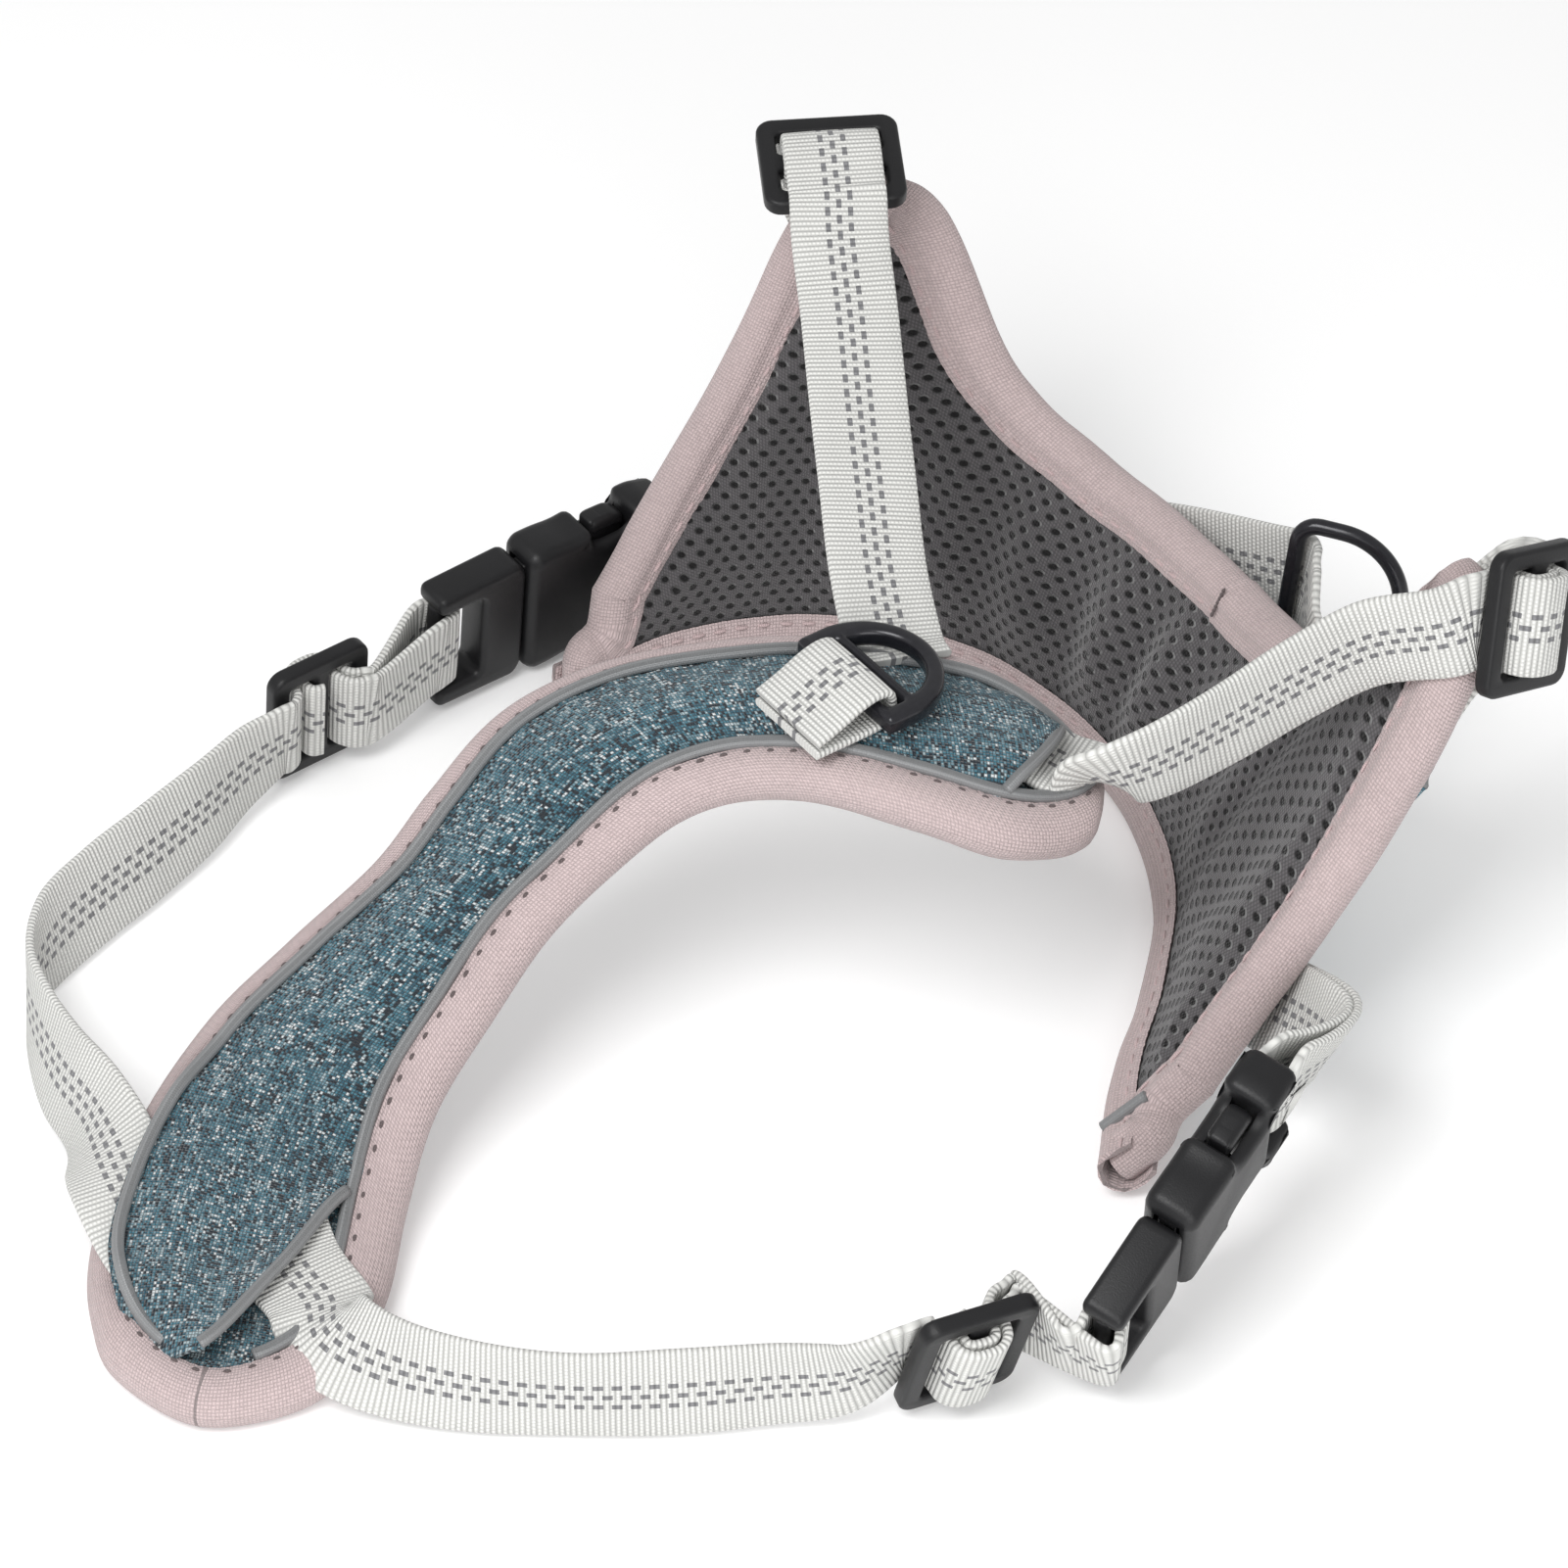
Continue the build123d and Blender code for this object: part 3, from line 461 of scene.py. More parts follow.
# ---------------------------------------------------------------- materials
class Shader:
    """A small helper for node materials whose patterns are laid out in millimetres of the piece's own UVs."""

    def __init__(self, name, roughness, metallic=0.0, sheen=0.0, specular=0.5):
        self.material = bpy.data.materials.new(name)
        self.material.use_nodes = True
        self.tree = self.material.node_tree
        self.bsdf = self.tree.nodes["Principled BSDF"]
        self.bsdf.inputs["Roughness"].default_value = roughness
        self.bsdf.inputs["Metallic"].default_value = metallic
        self.bsdf.inputs["Sheen Weight"].default_value = sheen
        self.bsdf.inputs["Sheen Roughness"].default_value = 0.5
        self.bsdf.inputs["Specular IOR Level"].default_value = specular

    def node(self, kind, **inputs):
        made = self.tree.nodes.new(kind)
        for key, value in inputs.items():
            self.put(made.inputs[key.replace("_", " ")], value)
        return made

    def put(self, socket, value):
        if isinstance(value, bpy.types.NodeSocket):
            self.tree.links.new(value, socket)
        else:
            socket.default_value = value

    def math(self, operation, a, b=0.0, c=0.0):
        made = self.tree.nodes.new("ShaderNodeMath")
        made.operation = operation
        for socket, value in zip(made.inputs, (a, b, c)):
            self.put(socket, value)
        return made.outputs[0]

    def uv(self):
        coordinates = self.tree.nodes.new("ShaderNodeUVMap")
        coordinates.uv_map = "fabric"
        parts = self.node("ShaderNodeSeparateXYZ", Vector=coordinates.outputs[0])
        return parts.outputs[0], parts.outputs[1]

    def cells(self, value, pitch_mm):
        """The cell number and the place in the cell, for cells of a pitch in mm."""
        scaled = self.math("MULTIPLY", value, 1.0 / (pitch_mm * MM))
        return self.math("FLOOR", scaled), self.math("FRACT", scaled), scaled

    def hill(self, place):
        return self.math("SINE", self.math("MULTIPLY", place, math.pi))

    def white(self, a, b):
        vector = self.node("ShaderNodeCombineXYZ", X=a, Y=b)
        made = self.tree.nodes.new("ShaderNodeTexWhiteNoise")
        made.noise_dimensions = "2D"
        self.put(made.inputs["Vector"], vector.outputs[0])
        return made.outputs["Value"]

    def noise(self, scale, detail=3.0):
        place = self.tree.nodes.new("ShaderNodeTexCoord")
        made = self.node("ShaderNodeTexNoise", Vector=place.outputs["Object"], Scale=scale, Detail=detail)
        return made.outputs["Fac"]

    def blend(self, share, a, b):
        made = self.tree.nodes.new("ShaderNodeMix")
        made.data_type = "RGBA"
        self.put(made.inputs[0], share)
        self.put(made.inputs[6], a)
        self.put(made.inputs[7], b)
        return made.outputs[2]

    def number(self, share, a, b):
        made = self.tree.nodes.new("ShaderNodeMix")
        self.put(made.inputs[0], share)
        self.put(made.inputs[2], a)
        self.put(made.inputs[3], b)
        return made.outputs[0]

    def ramp(self, value, stops, constant=True):
        made = self.tree.nodes.new("ShaderNodeValToRGB")
        made.color_ramp.interpolation = "CONSTANT" if constant else "LINEAR"
        elements = made.color_ramp.elements
        while len(elements) < len(stops):
            elements.new(0.5)
        for element, (place, colour) in zip(elements, stops):
            element.position = place
            element.color = (*colour, 1)
        self.put(made.inputs[0], value)
        return made.outputs[0]

    def shaded(self, colour, amount):
        """The colour multiplied by an amount."""
        grey = self.node("ShaderNodeCombineXYZ", X=amount, Y=amount, Z=amount)
        made = self.tree.nodes.new("ShaderNodeMix")
        made.data_type = "RGBA"
        made.blend_type = "MULTIPLY"
        made.inputs[0].default_value = 1.0
        self.put(made.inputs[6], colour)
        self.put(made.inputs[7], grey.outputs[0])
        return made.outputs[2]

    def bump(self, height, depth_mm, strength=1.0):
        made = self.node("ShaderNodeBump", Height=height)
        made.inputs["Distance"].default_value = depth_mm * MM
        made.inputs["Strength"].default_value = strength
        self.tree.links.new(made.outputs[0], self.bsdf.inputs["Normal"])

    def colour(self, value):
        self.put(self.bsdf.inputs["Base Color"], value)


def weave(shader, pitch_mm):
    """A plain weave: which thread is on top, the thread numbers, places and the height."""
    u, v = shader.uv()
    number_u, in_u, scaled_u = shader.cells(u, pitch_mm)
    number_v, in_v, scaled_v = shader.cells(v, pitch_mm)
    over = shader.math("MODULO", shader.math("ADD", number_u, number_v), 2.0)
    hill_u, hill_v = shader.hill(in_u), shader.hill(in_v)
    warp = shader.math("MULTIPLY", hill_u, shader.math("MULTIPLY_ADD", hill_v, 0.45, 0.55))
    weft = shader.math("MULTIPLY", hill_v, shader.math("MULTIPLY_ADD", hill_u, 0.45, 0.55))
    height = shader.number(over, warp, weft)
    return over, (number_u, number_v), (scaled_u, scaled_v), height


def heathered_fabric():
    shader = Shader("heathered_canvas", 0.86, sheen=0.25, specular=0.25)
    over, (number_u, number_v), (scaled_u, scaled_v), height = weave(shader, 0.46)
    long_v = shader.math("FLOOR", shader.math("MULTIPLY_ADD", shader.white(number_u, 3.0), 5.0,
                                              shader.math("MULTIPLY", scaled_v, 0.42)))
    long_u = shader.math("FLOOR", shader.math("MULTIPLY_ADD", shader.white(number_v, 8.0), 5.0,
                                              shader.math("MULTIPLY", scaled_u, 0.30)))
    warp = shader.white(number_u, long_v)
    weft = shader.white(long_u, number_v)
    pick = shader.number(over, warp, weft)
    yarn_tone_and_knit_shade = shader.ramp(pick, [
        (0.0, (0.016, 0.024, 0.034)), (0.20, (0.030, 0.095, 0.135)), (0.42, (0.060, 0.175, 0.23)),
        (0.66, (0.14, 0.25, 0.30)), (0.82, (0.34, 0.43, 0.46)), (0.93, (0.62, 0.66, 0.67)),
    ])
    patches = shader.noise(38.0, 4.0)
    # The weave's height darkens the grooves between the threads: painted shade. The large noise patches are random
    # tone.
    light = shader.math("MULTIPLY_ADD", patches, 0.35, shader.math("MULTIPLY_ADD", height, 0.85, 0.16))
    shader.colour(shader.shaded(yarn_tone_and_knit_shade, light))
    shader.bump(height, 0.30)
    return shader.material


def tape_fabric():
    shader = Shader("mauve_tape", 0.82, sheen=0.2, specular=0.3)
    over, numbers, _, height = weave(shader, 0.56)
    shade = shader.math("MULTIPLY_ADD", shader.white(numbers[0], numbers[1]), 0.10, 0.86)
    patches = shader.math("MULTIPLY_ADD", shader.noise(55.0), 0.16, -0.06)
    # The weave's height darkens the grooves between the threads: painted shade. The per-thread tone and the noise
    # patches are random tone.
    light = shader.math("ADD", shader.math("MULTIPLY", shade, shader.math("MULTIPLY_ADD", height, 0.30, 0.80)), patches)
    shader.colour(shader.shaded((0.56, 0.452, 0.450, 1), light))
    shader.bump(height, 0.16)
    return shader.material


def strap_webbing():
    shader = Shader("ribbed_webbing", 0.74, sheen=0.15, specular=0.35)
    u, v = shader.uv()
    number_v, in_v, _ = shader.cells(v, 0.78)
    _, in_u, scaled_u = shader.cells(u, 0.62)
    lean = shader.math("FRACT", shader.math("MULTIPLY_ADD", number_v, 0.5, scaled_u))
    rib = shader.hill(in_v)
    height = shader.math("MULTIPLY", rib, shader.math("MULTIPLY_ADD", shader.hill(lean), 0.42, 0.58))
    marks = None
    for offset, phase in ((-1.75, 0.0), (0.0, 0.5), (1.75, 0.0)):
        away = shader.math("ABSOLUTE", shader.math("SUBTRACT", u, (webbing_width / 2 + offset) * MM))
        inside = shader.math("LESS_THAN", away, 0.40 * MM)
        run = shader.math("FRACT", shader.math("MULTIPLY_ADD", v, 1.0 / (2.6 * MM), phase))
        dash = shader.math("MULTIPLY", inside, shader.math("LESS_THAN", run, 0.56))
        marks = dash if marks is None else shader.math("MAXIMUM", marks, dash)
    wear = shader.math("MULTIPLY_ADD", shader.noise(90.0), 0.14, 0.86)
    # The rib height darkens the grooves between the ribs: painted shade. The wear noise is random tone.
    light = shader.math("MULTIPLY", wear, shader.math("MULTIPLY_ADD", height, 0.42, 0.60))
    yarn_tone_and_knit_shade = shader.blend(marks, (0.80, 0.80, 0.77, 1), (0.25, 0.25, 0.26, 1))
    shader.colour(shader.shaded(yarn_tone_and_knit_shade, light))
    shader.bump(height, 0.28)
    return shader.material


def air_mesh():
    shader = Shader("air_mesh", 0.88, sheen=0.3, specular=0.2)
    u, v = shader.uv()
    wide, tall, hole = 2.9, 3.5, 0.62
    nearest = None
    for half in (0.0, 0.5):
        parts = []
        for value, pitch in ((u, wide), (v, tall)):
            place = shader.math("FRACT", shader.math("MULTIPLY_ADD", value, 1.0 / (pitch * MM), half))
            parts.append(shader.math("MULTIPLY", shader.math("SUBTRACT", place, 0.5), pitch))
        flat = shader.math("MULTIPLY", parts[1], 1.25)
        squares = shader.math("MULTIPLY_ADD", parts[0], parts[0], shader.math("MULTIPLY", flat, flat))
        distance = shader.math("SQRT", squares)
        nearest = distance if nearest is None else shader.math("MINIMUM", nearest, distance)
    open_part = shader.node("ShaderNodeMapRange", Value=nearest)
    open_part.interpolation_type = "SMOOTHSTEP"
    for key, value in (("From Min", hole * 0.75), ("From Max", hole * 1.45), ("To Min", 0.0), ("To Max", 1.0)):
        open_part.inputs[key].default_value = value
    solid = open_part.outputs[0]
    knit_u = shader.hill(shader.cells(u, 0.42)[1])
    knit_v = shader.hill(shader.cells(shader.math("MULTIPLY_ADD", u, 0.5, v), 0.50)[1])
    knit = shader.math("MULTIPLY", knit_u, knit_v)
    # The knit profile darkens the gaps between the loops: painted shade.
    yarn_tone_and_knit_shade = shader.math("MULTIPLY_ADD", knit, 0.55, 0.62)
    # The holes are painted nearly black: painted shade in the holes.
    light = shader.math("MULTIPLY", yarn_tone_and_knit_shade, shader.math("MULTIPLY_ADD", solid, 0.93, 0.07))
    shader.colour(shader.shaded((0.10, 0.095, 0.099, 1), light))
    shader.bump(shader.math("MULTIPLY_ADD", knit, 0.12, solid), 0.75)
    return shader.material


def reflective_cord():
    shader = Shader("reflective_cord", 0.5, metallic=0.15, sheen=0.1)
    _, _, _, height = weave(shader, 0.35)
    # The weave's height darkens the grooves between the threads: painted shade; the noise is random tone.
    light = shader.math("MULTIPLY_ADD", height, 0.14, shader.math("MULTIPLY_ADD", shader.noise(140.0), 0.18, 0.78))
    shader.colour(shader.shaded((0.235, 0.24, 0.245, 1), light))
    shader.bump(height, 0.05)
    return shader.material


def moulded_plastic():
    shader = Shader("black_moulding", 0.40, specular=0.32)
    grain = shader.noise(4200.0, 2.0)
    wear = shader.math("MULTIPLY_ADD", shader.noise(160.0), 0.5, 0.75)
    shader.colour(shader.shaded((0.010, 0.010, 0.011, 1), wear))
    rough = shader.math("MULTIPLY_ADD", grain, 0.22, 0.30)
    shader.put(shader.bsdf.inputs["Roughness"], rough)
    shader.bump(grain, 0.05, 0.6)
    return shader.material


def coated_wire():
    shader = Shader("coated_wire", 0.24, metallic=0.35, specular=0.6)
    fine = shader.noise(900.0, 2.0)
    shader.colour(shader.shaded((0.016, 0.016, 0.02, 1), shader.math("MULTIPLY_ADD", fine, 0.6, 0.7)))
    shader.put(shader.bsdf.inputs["Roughness"], shader.math("MULTIPLY_ADD", fine, 0.16, 0.16))
    shader.bump(fine, 0.02, 0.5)
    return shader.material


def thread(name, colour):
    shader = Shader(name, 0.6, sheen=0.2)
    u, _ = shader.uv()
    twist = shader.hill(shader.cells(u, 0.3)[1])
    # The twist darkens the grooves between the plies: painted shade.
    shader.colour(shader.shaded((*colour, 1), shader.math("MULTIPLY_ADD", twist, 0.3, 0.75)))
    shader.bump(twist, 0.05)
    return shader.material


canvas = heathered_fabric()
tape = tape_fabric()
webbing = strap_webbing()
mesh_cloth = air_mesh()
reflective = reflective_cord()
plastic = moulded_plastic()
wire = coated_wire()
pale_thread = thread("mauve_thread", (0.55, 0.42, 0.42))
# The mauve thread darkened to about a fifth: painted shade, standing for stitches sunk in needle holes.
mauve_thread_painted_shade = thread("needle_hole_painted_shade", (0.10, 0.075, 0.075))
grey_thread = thread("grey_thread", (0.62, 0.62, 0.60))


# ---------------------------------------------------------------- the back panel's surface
rear_curve = evenly([curve_at([Vector(p) for p in rear_edge], k / 8) for k in range(73)], 241)
rear_length = lengths(rear_curve)[-1]


def back_foot(place):
    scaled = place * (len(rear_curve) - 1)
    index = min(max(int(scaled), 0), len(rear_curve) - 2)
    return mixed(rear_curve[index], rear_curve[index + 1], scaled - index)


def back_rise(place):
    return blurred(rise, place, 0.05).normalized()


def back_face(place, height=30.0):
    a = back_foot(place - 0.008) + back_rise(place - 0.008) * height
    b = back_foot(place + 0.008) + back_rise(place + 0.008) * height
    return back_rise(place).cross(b - a).normalized()


def back_point(place, height, off=0.0):
    return spot(back_foot(place) + back_rise(place) * height + back_face(place, height) * off)


def flat_point(s, h, off=0.0):
    """A point of the panel by its flat pattern: mm along the rear edge, mm up from it, mm off its middle."""
    return back_point(s / rear_length, h, off)


def neck_outline(inset):
    """The flat outline over the neck and sides, from one end to the other, set in."""
    places = [k / 200 for k in range(201)]
    line = [Vector((u * rear_length, blurred(half_outline, abs(u - 0.5) * 2, 0.022), 0)) for u in places]
    moved = []
    for index, point in enumerate(line):
        run = heading(line, index)
        inner = point + Vector((run.y, -run.x, 0)) * inset
        inner.x = min(max(inner.x, inset), rear_length - inset)
        moved.append(inner)
    return moved


def height_at(line, s):
    for a, b in zip(line, line[1:]):
        if a.x <= s <= b.x and b.x > a.x:
            return a.y + (b.y - a.y) * (s - a.x) / (b.x - a.x)
    return line[0].y if s < line[0].x + 1 else line[-1].y


def ease(value):
    t = min(max(value, 0.0), 1.0)
    return t * t * (3 - 2 * t)


def back_layer(name, inset, low_off, high_off, reach, side, material, folds, thickness, columns, rows):
    """A puffed layer of the back panel; side is 1 outside and -1 inside."""
    line = neck_outline(inset)
    grid, uvs = [], []
    for column in range(columns + 1):
        s = inset + (rear_length - 2 * inset) * column / columns
        top = max(height_at(line, s), inset + 0.8)
        row_points, row_uvs = [], []
        for row in range(rows + 1):
            h = inset + (top - inset) * row / rows
            edge = min(h - inset, top - h, s - inset, rear_length - inset - s)
            full = ease(edge / reach)
            flat = Vector((s, h, 0))
            off = low_off + (high_off - low_off) * full
            off += full * folds(s, h) + 0.22 * ripple(flat, 7.0, 5.0) * full
            off += 0.30 * math.sin(s * 0.9 + 2.0 * ripple(flat, 15.0)) * ease((edge - 2) / 2) * (1 - ease(edge / 10))
            row_points.append(flat_point(s, h, side * off))
            row_uvs.append((s, h))
        grid.append(row_points if side > 0 else row_points[::-1])
        uvs.append(row_uvs if side > 0 else row_uvs[::-1])
    piece = cloth_sheet(name, grid, uvs, thickness, material, "root")
    return piece


def outside_folds(s, h):
    return 0.55 * ripple(Vector((s, h * 0.6, 0)), 22.0, 1.0)


def inside_folds(s, h):
    """Loose lining: upright folds beside the spine, softer waves elsewhere."""
    middle = math.exp(-((s - rear_length * 0.5) / 34) ** 2)
    wave = math.sin(s * 0.42 + 1.4 * ripple(Vector((s, h, 0)), 26.0, 2.0))
    return 0.5 + (0.45 + 1.5 * middle) * wave + 0.9 * ripple(Vector((s, h * 0.5, 0)), 20.0, 8.0)


back_canvas = back_layer(
    "canvas_back_panel", 5.2, 2.5, 4.6, 12.0, 1, canvas, outside_folds, 0.7, 150, 34)
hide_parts("back_outer_fabric", "back_padding")
back_lining = back_layer(
    "mesh_back_lining", 5.2, 1.8, 4.0, 15.0, -1, mesh_cloth, inside_folds, 0.6, 190, 36)
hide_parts("back_mesh_lining")


# ---------------------------------------------------------------- the chest strip's surface
far_points = [Vector(p) for p in chest_far_edge]
near_points = [Vector(p) for p in chest_near_edge]
chest_rows = 3 * (len(far_points) - 1)


def chest_face(row, share=0.5):
    a, b = max(row - 0.6, 0.0), min(row + 0.6, chest_rows)
    far_a, far_b = curve_at(far_points, a / 3), curve_at(far_points, b / 3)
    near_a, near_b = curve_at(near_points, a / 3), curve_at(near_points, b / 3)
    run = mixed(far_b, near_b, share) - mixed(far_a, near_a, share)
    return (mixed(near_a, near_b, 0.5) - mixed(far_a, far_b, 0.5)).cross(run).normalized()


def chest_width(row):
    return (curve_at(far_points, row / 3) - curve_at(near_points, row / 3)).length


def chest_point(row, share, off=0.0):
    far, near = curve_at(far_points, row / 3), curve_at(near_points, row / 3)
    return spot(mixed(far, near, share) + chest_face(row, 0.5) * off)


chest_run = lengths([chest_point(k / 4, 0.5) for k in range(4 * chest_rows + 1)])


def chest_at(row):
    index = min(max(int(row * 4), 0), len(chest_run) - 2)
    return chest_run[index] + (chest_run[index + 1] - chest_run[index]) * (row * 4 - index)


def loop_row(k, inset):
    """The row at a place from 0 to 1 between the strip's two rounded ends, for a line set in."""
    start = inset / 4.0
    return start + (chest_rows - 2 * start) * (1 - math.cos(math.pi * k)) / 2


def loop_half(row, inset):
    """Half the share of the width left at a row, for a line set in from the edge."""
    start = inset / 4.0
    q = min(1.0, (min(row, chest_rows - row) - start) / 2.5)
    return max(0.0, 0.5 - inset / chest_width(row)) * math.sqrt(max(0.0, 1 - (1 - q) ** 2))


def edge_share(row, side, inset):
    """The share at a line set in from an edge; the far edge's tape is narrower, except at the tips."""
    middle = ease(min(row, chest_rows - row) / 7.0)
    depth = inset * (1 - 0.42 * middle) if side < 0 else inset
    return 0.5 + side * max(0.0, loop_half(row, inset) + (inset - depth) / chest_width(row))


def chest_layer(name, inset, low_off, high_off, reach, side, material, folds, thickness, rows, columns):
    grid, uvs = [], []
    for k in range(rows + 1):
        row = loop_row(k / rows, inset)
        low, high = edge_share(row, -1, inset), edge_share(row, 1, inset)
        width = chest_width(row)
        row_points, row_uvs = [], []
        for c in range(columns + 1):
            share = low + (high - low) * c / columns
            across = (share - 0.5) * width
            run = chest_at(row)
            edge = min((share - low) * width, (high - share) * width, run - inset, chest_run[-1] - inset - run)
            full = ease(edge / reach)
            flat = Vector((run, across, 0))
            off = low_off + (high_off - low_off) * full + full * folds(run, across)
            off += 0.30 * math.sin(run * 0.95 + 2.0 * ripple(flat, 15.0)) * ease(edge / 2) * (1 - ease(edge / 8))
            row_points.append(chest_point(row, share, side * off))
            row_uvs.append((run, across))
        grid.append(row_points[::-1] if side > 0 else row_points)
        uvs.append(row_uvs[::-1] if side > 0 else row_uvs)
    return cloth_sheet(name, grid, uvs, thickness, material, "root")


def front_mouth(share):
    """The row where the main fabric ends at the front, at a share of the width."""
    return 43.6 - 6.6 * share ** 1.6


def rear_mouth(share):
    """At the rear the fabric reaches the tip on the far side and leaves the mouth open on the near side."""
    return 1.9 + 7.8 * ease((share - 0.46) / 0.46) ** 0.8


mouth_lift = 2.0


def strap_lift(row):
    """How far the far edge stands up where the left girth strap comes out from under it."""
    return 3.2 * ease((4.4 - abs(row - 7.4)) / 2.0)


def main_fabric(name, inset, rows, columns):
    """The strip's main fabric, which lies over the end fabric and stands open at both mouths."""
    grid, uvs = [], []
    for k in range(rows + 1):
        row_points, row_uvs = [], []
        for c in range(columns + 1):
            along = k / rows
            share = c / columns
            for _ in range(3):
                row = rear_mouth(share) + (front_mouth(share) - rear_mouth(share)) * along
                low, high = edge_share(row, -1, inset), edge_share(row, 1, inset)
                share = low + (high - low) * c / columns
            width = chest_width(row)
            run = chest_at(row)
            across = (share - 0.5) * width
            edge = min(share - low, high - share) * width
            full = ease(edge / 11.0)
            flat = Vector((run, across, 0))
            off = 2.9 + 2.9 * full + full * 0.7 * ripple(flat, 24.0, 1.0) + 0.18 * ripple(flat, 7.0, 4.0) * full
            off += strap_lift(row) * (1 - c / columns) ** 1.3
            off += 0.34 * math.sin(run * 0.95 + 2.0 * ripple(flat, 15.0)) * ease(edge / 2) * (1 - ease(edge / 8))
            mouth = min(run - chest_at(rear_mouth(share)), chest_at(front_mouth(share)) - run)
            off += mouth_lift * ease(edge / 5.0) * (1 - ease(mouth / 16))
            row_points.append(chest_point(row, share, off))
            row_uvs.append((run, across))
        grid.append(row_points[::-1])
        uvs.append(row_uvs[::-1])
    return cloth_sheet(name, grid, uvs, 0.7, canvas, "root")


def soft_folds(run, across):
    return 0.4 * ripple(Vector((run, across, 0)), 20.0, 6.0)


def lining_folds(run, across):
    return 0.5 * math.sin(run * 0.30 + 1.2 * ripple(Vector((run, across, 0)), 22.0)) + 0.3


chest_ends = chest_layer(
    "canvas_chest_ends", 5.2, 2.2, 3.0, 10.0, 1, canvas, lambda run, across: 0.0, 0.6, 150, 22)
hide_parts("chest_padding")
chest_canvas = main_fabric("canvas_chest_panel", 5.6, 190, 30)
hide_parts("chest_outer_fabric", "chest_front_pocket", "chest_rear_pocket")
chest_lining = chest_layer(
    "mesh_chest_lining", 5.2, 2.3, 3.6, 10.0, -1, mesh_cloth, lining_folds, 0.6, 170, 22)
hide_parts("chest_mesh_lining")


# ---------------------------------------------------------------- bindings
fold_outside = [
    (7.4, 3.05), (7.0, 3.5), (6.2, 3.55), (5.0, 3.85), (3.2, 3.7), (1.5, 2.95), (0.4, 1.6), (0.0, 0.0),
    (0.4, -1.6), (1.5, -3.0), (3.1, -3.95), (4.3, -3.9), (5.0, -3.45), (5.6, -3.3), (7.0, -3.35), (7.8, -2.9),
]
fold_inside = [(7.4, -2.5), (5.0, -2.7), (3.0, -3.0), (1.6, -2.1), (0.7, 0.0), (1.6, 2.1), (3.0, 3.1), (5.0, 3.2), (7.0, 2.7)]
fold_around = lengths([Vector((d, off, 0)) for d, off in fold_outside])


def fold_tape(name, place, count, closed=False, tuck=True):
    """Tape folded over an edge. place(k, d, off) is the point at a step, an inset and a height off the middle."""
    sections, uvs = [], []
    edge = [place(k, 0.0, 0.0) for k in range(count)]
    reach = lengths(edge)
    for k in range(count):
        row, uv_row = [], []
        here = edge[k]
        swell = 1.0 + 0.05 * ripple(here, 9.0, 2.0)
        for index, (d, off) in enumerate(fold_outside):
            near_seam = ease((d - 4.2) / 1.6)
            pucker = 0.16 * math.cos(2 * math.pi * reach[k] / stitch_pitch) * near_seam
            depth = d + 0.28 * ripple(here, 11.0, 9.0 if off > 0 else 4.0) * near_seam
            row.append(place(k, depth, (off + math.copysign(pucker, off) * (abs(off) > 1)) * swell))
            uv_row.append((reach[k], fold_around[index]))
        for d, off in fold_inside:
            row.append(place(k, d, off * swell))
            uv_row.append((reach[k], fold_around[-1] + d))
        sections.append(row)
        uvs.append(uv_row)
    piece = tube(name, sections, uvs, tape, None, closed)
    smooth_by_angle(piece, math.radians(70))
    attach(piece, "root")
    return piece


def cap_outline():
    """The flat edge path of the neck binding: up one end, over the neck and sides, down the other end."""
    line = [point for point in neck_outline(0.0)]
    radius = 5.0
    first = [Vector((0.0, 3.0, 0)), Vector((0.0, line[0].y - radius, 0))]
    start = line[0].y
    for step in range(1, 7):
        turn = math.radians(90 * step / 6)
        first.append(Vector((radius - radius * math.cos(turn), start - radius + radius * math.sin(turn), 0)))
    last = [Vector((rear_length - point.x, point.y, 0)) for point in first[::-1]]
    last_start = line[-1].y
    for point in last:
        point.y += last_start - start
    middle = [point for point in line if radius < point.x < rear_length - radius]
    return evenly(first + middle + last, 420)


cap_line = cap_outline()


def cap_place(k, d, off):
    run = heading(cap_line, k)
    inner = cap_line[k] + Vector((run.y, -run.x, 0)) * d
    return flat_point(min(max(inner.x, 0.0), rear_length), inner.y, off)


def rear_place(k, d, off):
    s = rear_length * k / 299
    return flat_point(s, d, off * 1.04)


neck_tape = fold_tape("tape_neck_edge", cap_place, 420)
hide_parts("back_neck_binding")
rear_tape = fold_tape("tape_rear_edge", rear_place, 300)
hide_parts("back_rear_binding")

loop_steps = 460


def loop_place(k, d, off):
    """Round the chest strip: along the far edge to the front, back along the near edge."""
    turn = 2.0 * k / loop_steps
    going = turn if turn <= 1 else 2 - turn
    side = -1 if turn <= 1 else 1
    row = loop_row(going, d)
    return chest_point(row, edge_share(row, side, d), off)


chest_tape = fold_tape("tape_chest_edge", loop_place, loop_steps, closed=True)
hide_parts("chest_near_binding", "chest_far_binding")


# ---------------------------------------------------------------- piping
def back_cord(name, node, first, last, inset=8.2, rear=False):
    count = int(abs(last - first) * 330) + 2
    line = neck_outline(inset)
    route = []
    for k in range(count):
        u = first + (last - first) * k / (count - 1)
        h = inset if rear else height_at(line, u * rear_length)
        wobble = 0.18 * ripple(Vector((u * rear_length, h, 0)), 8.0, 3.0)
        route.append((back_point(u, h + wobble, 3.75), back_face(u, h)))
    cord = round_cord(name, route, piping_radius, reflective, "root")
    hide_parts(node)


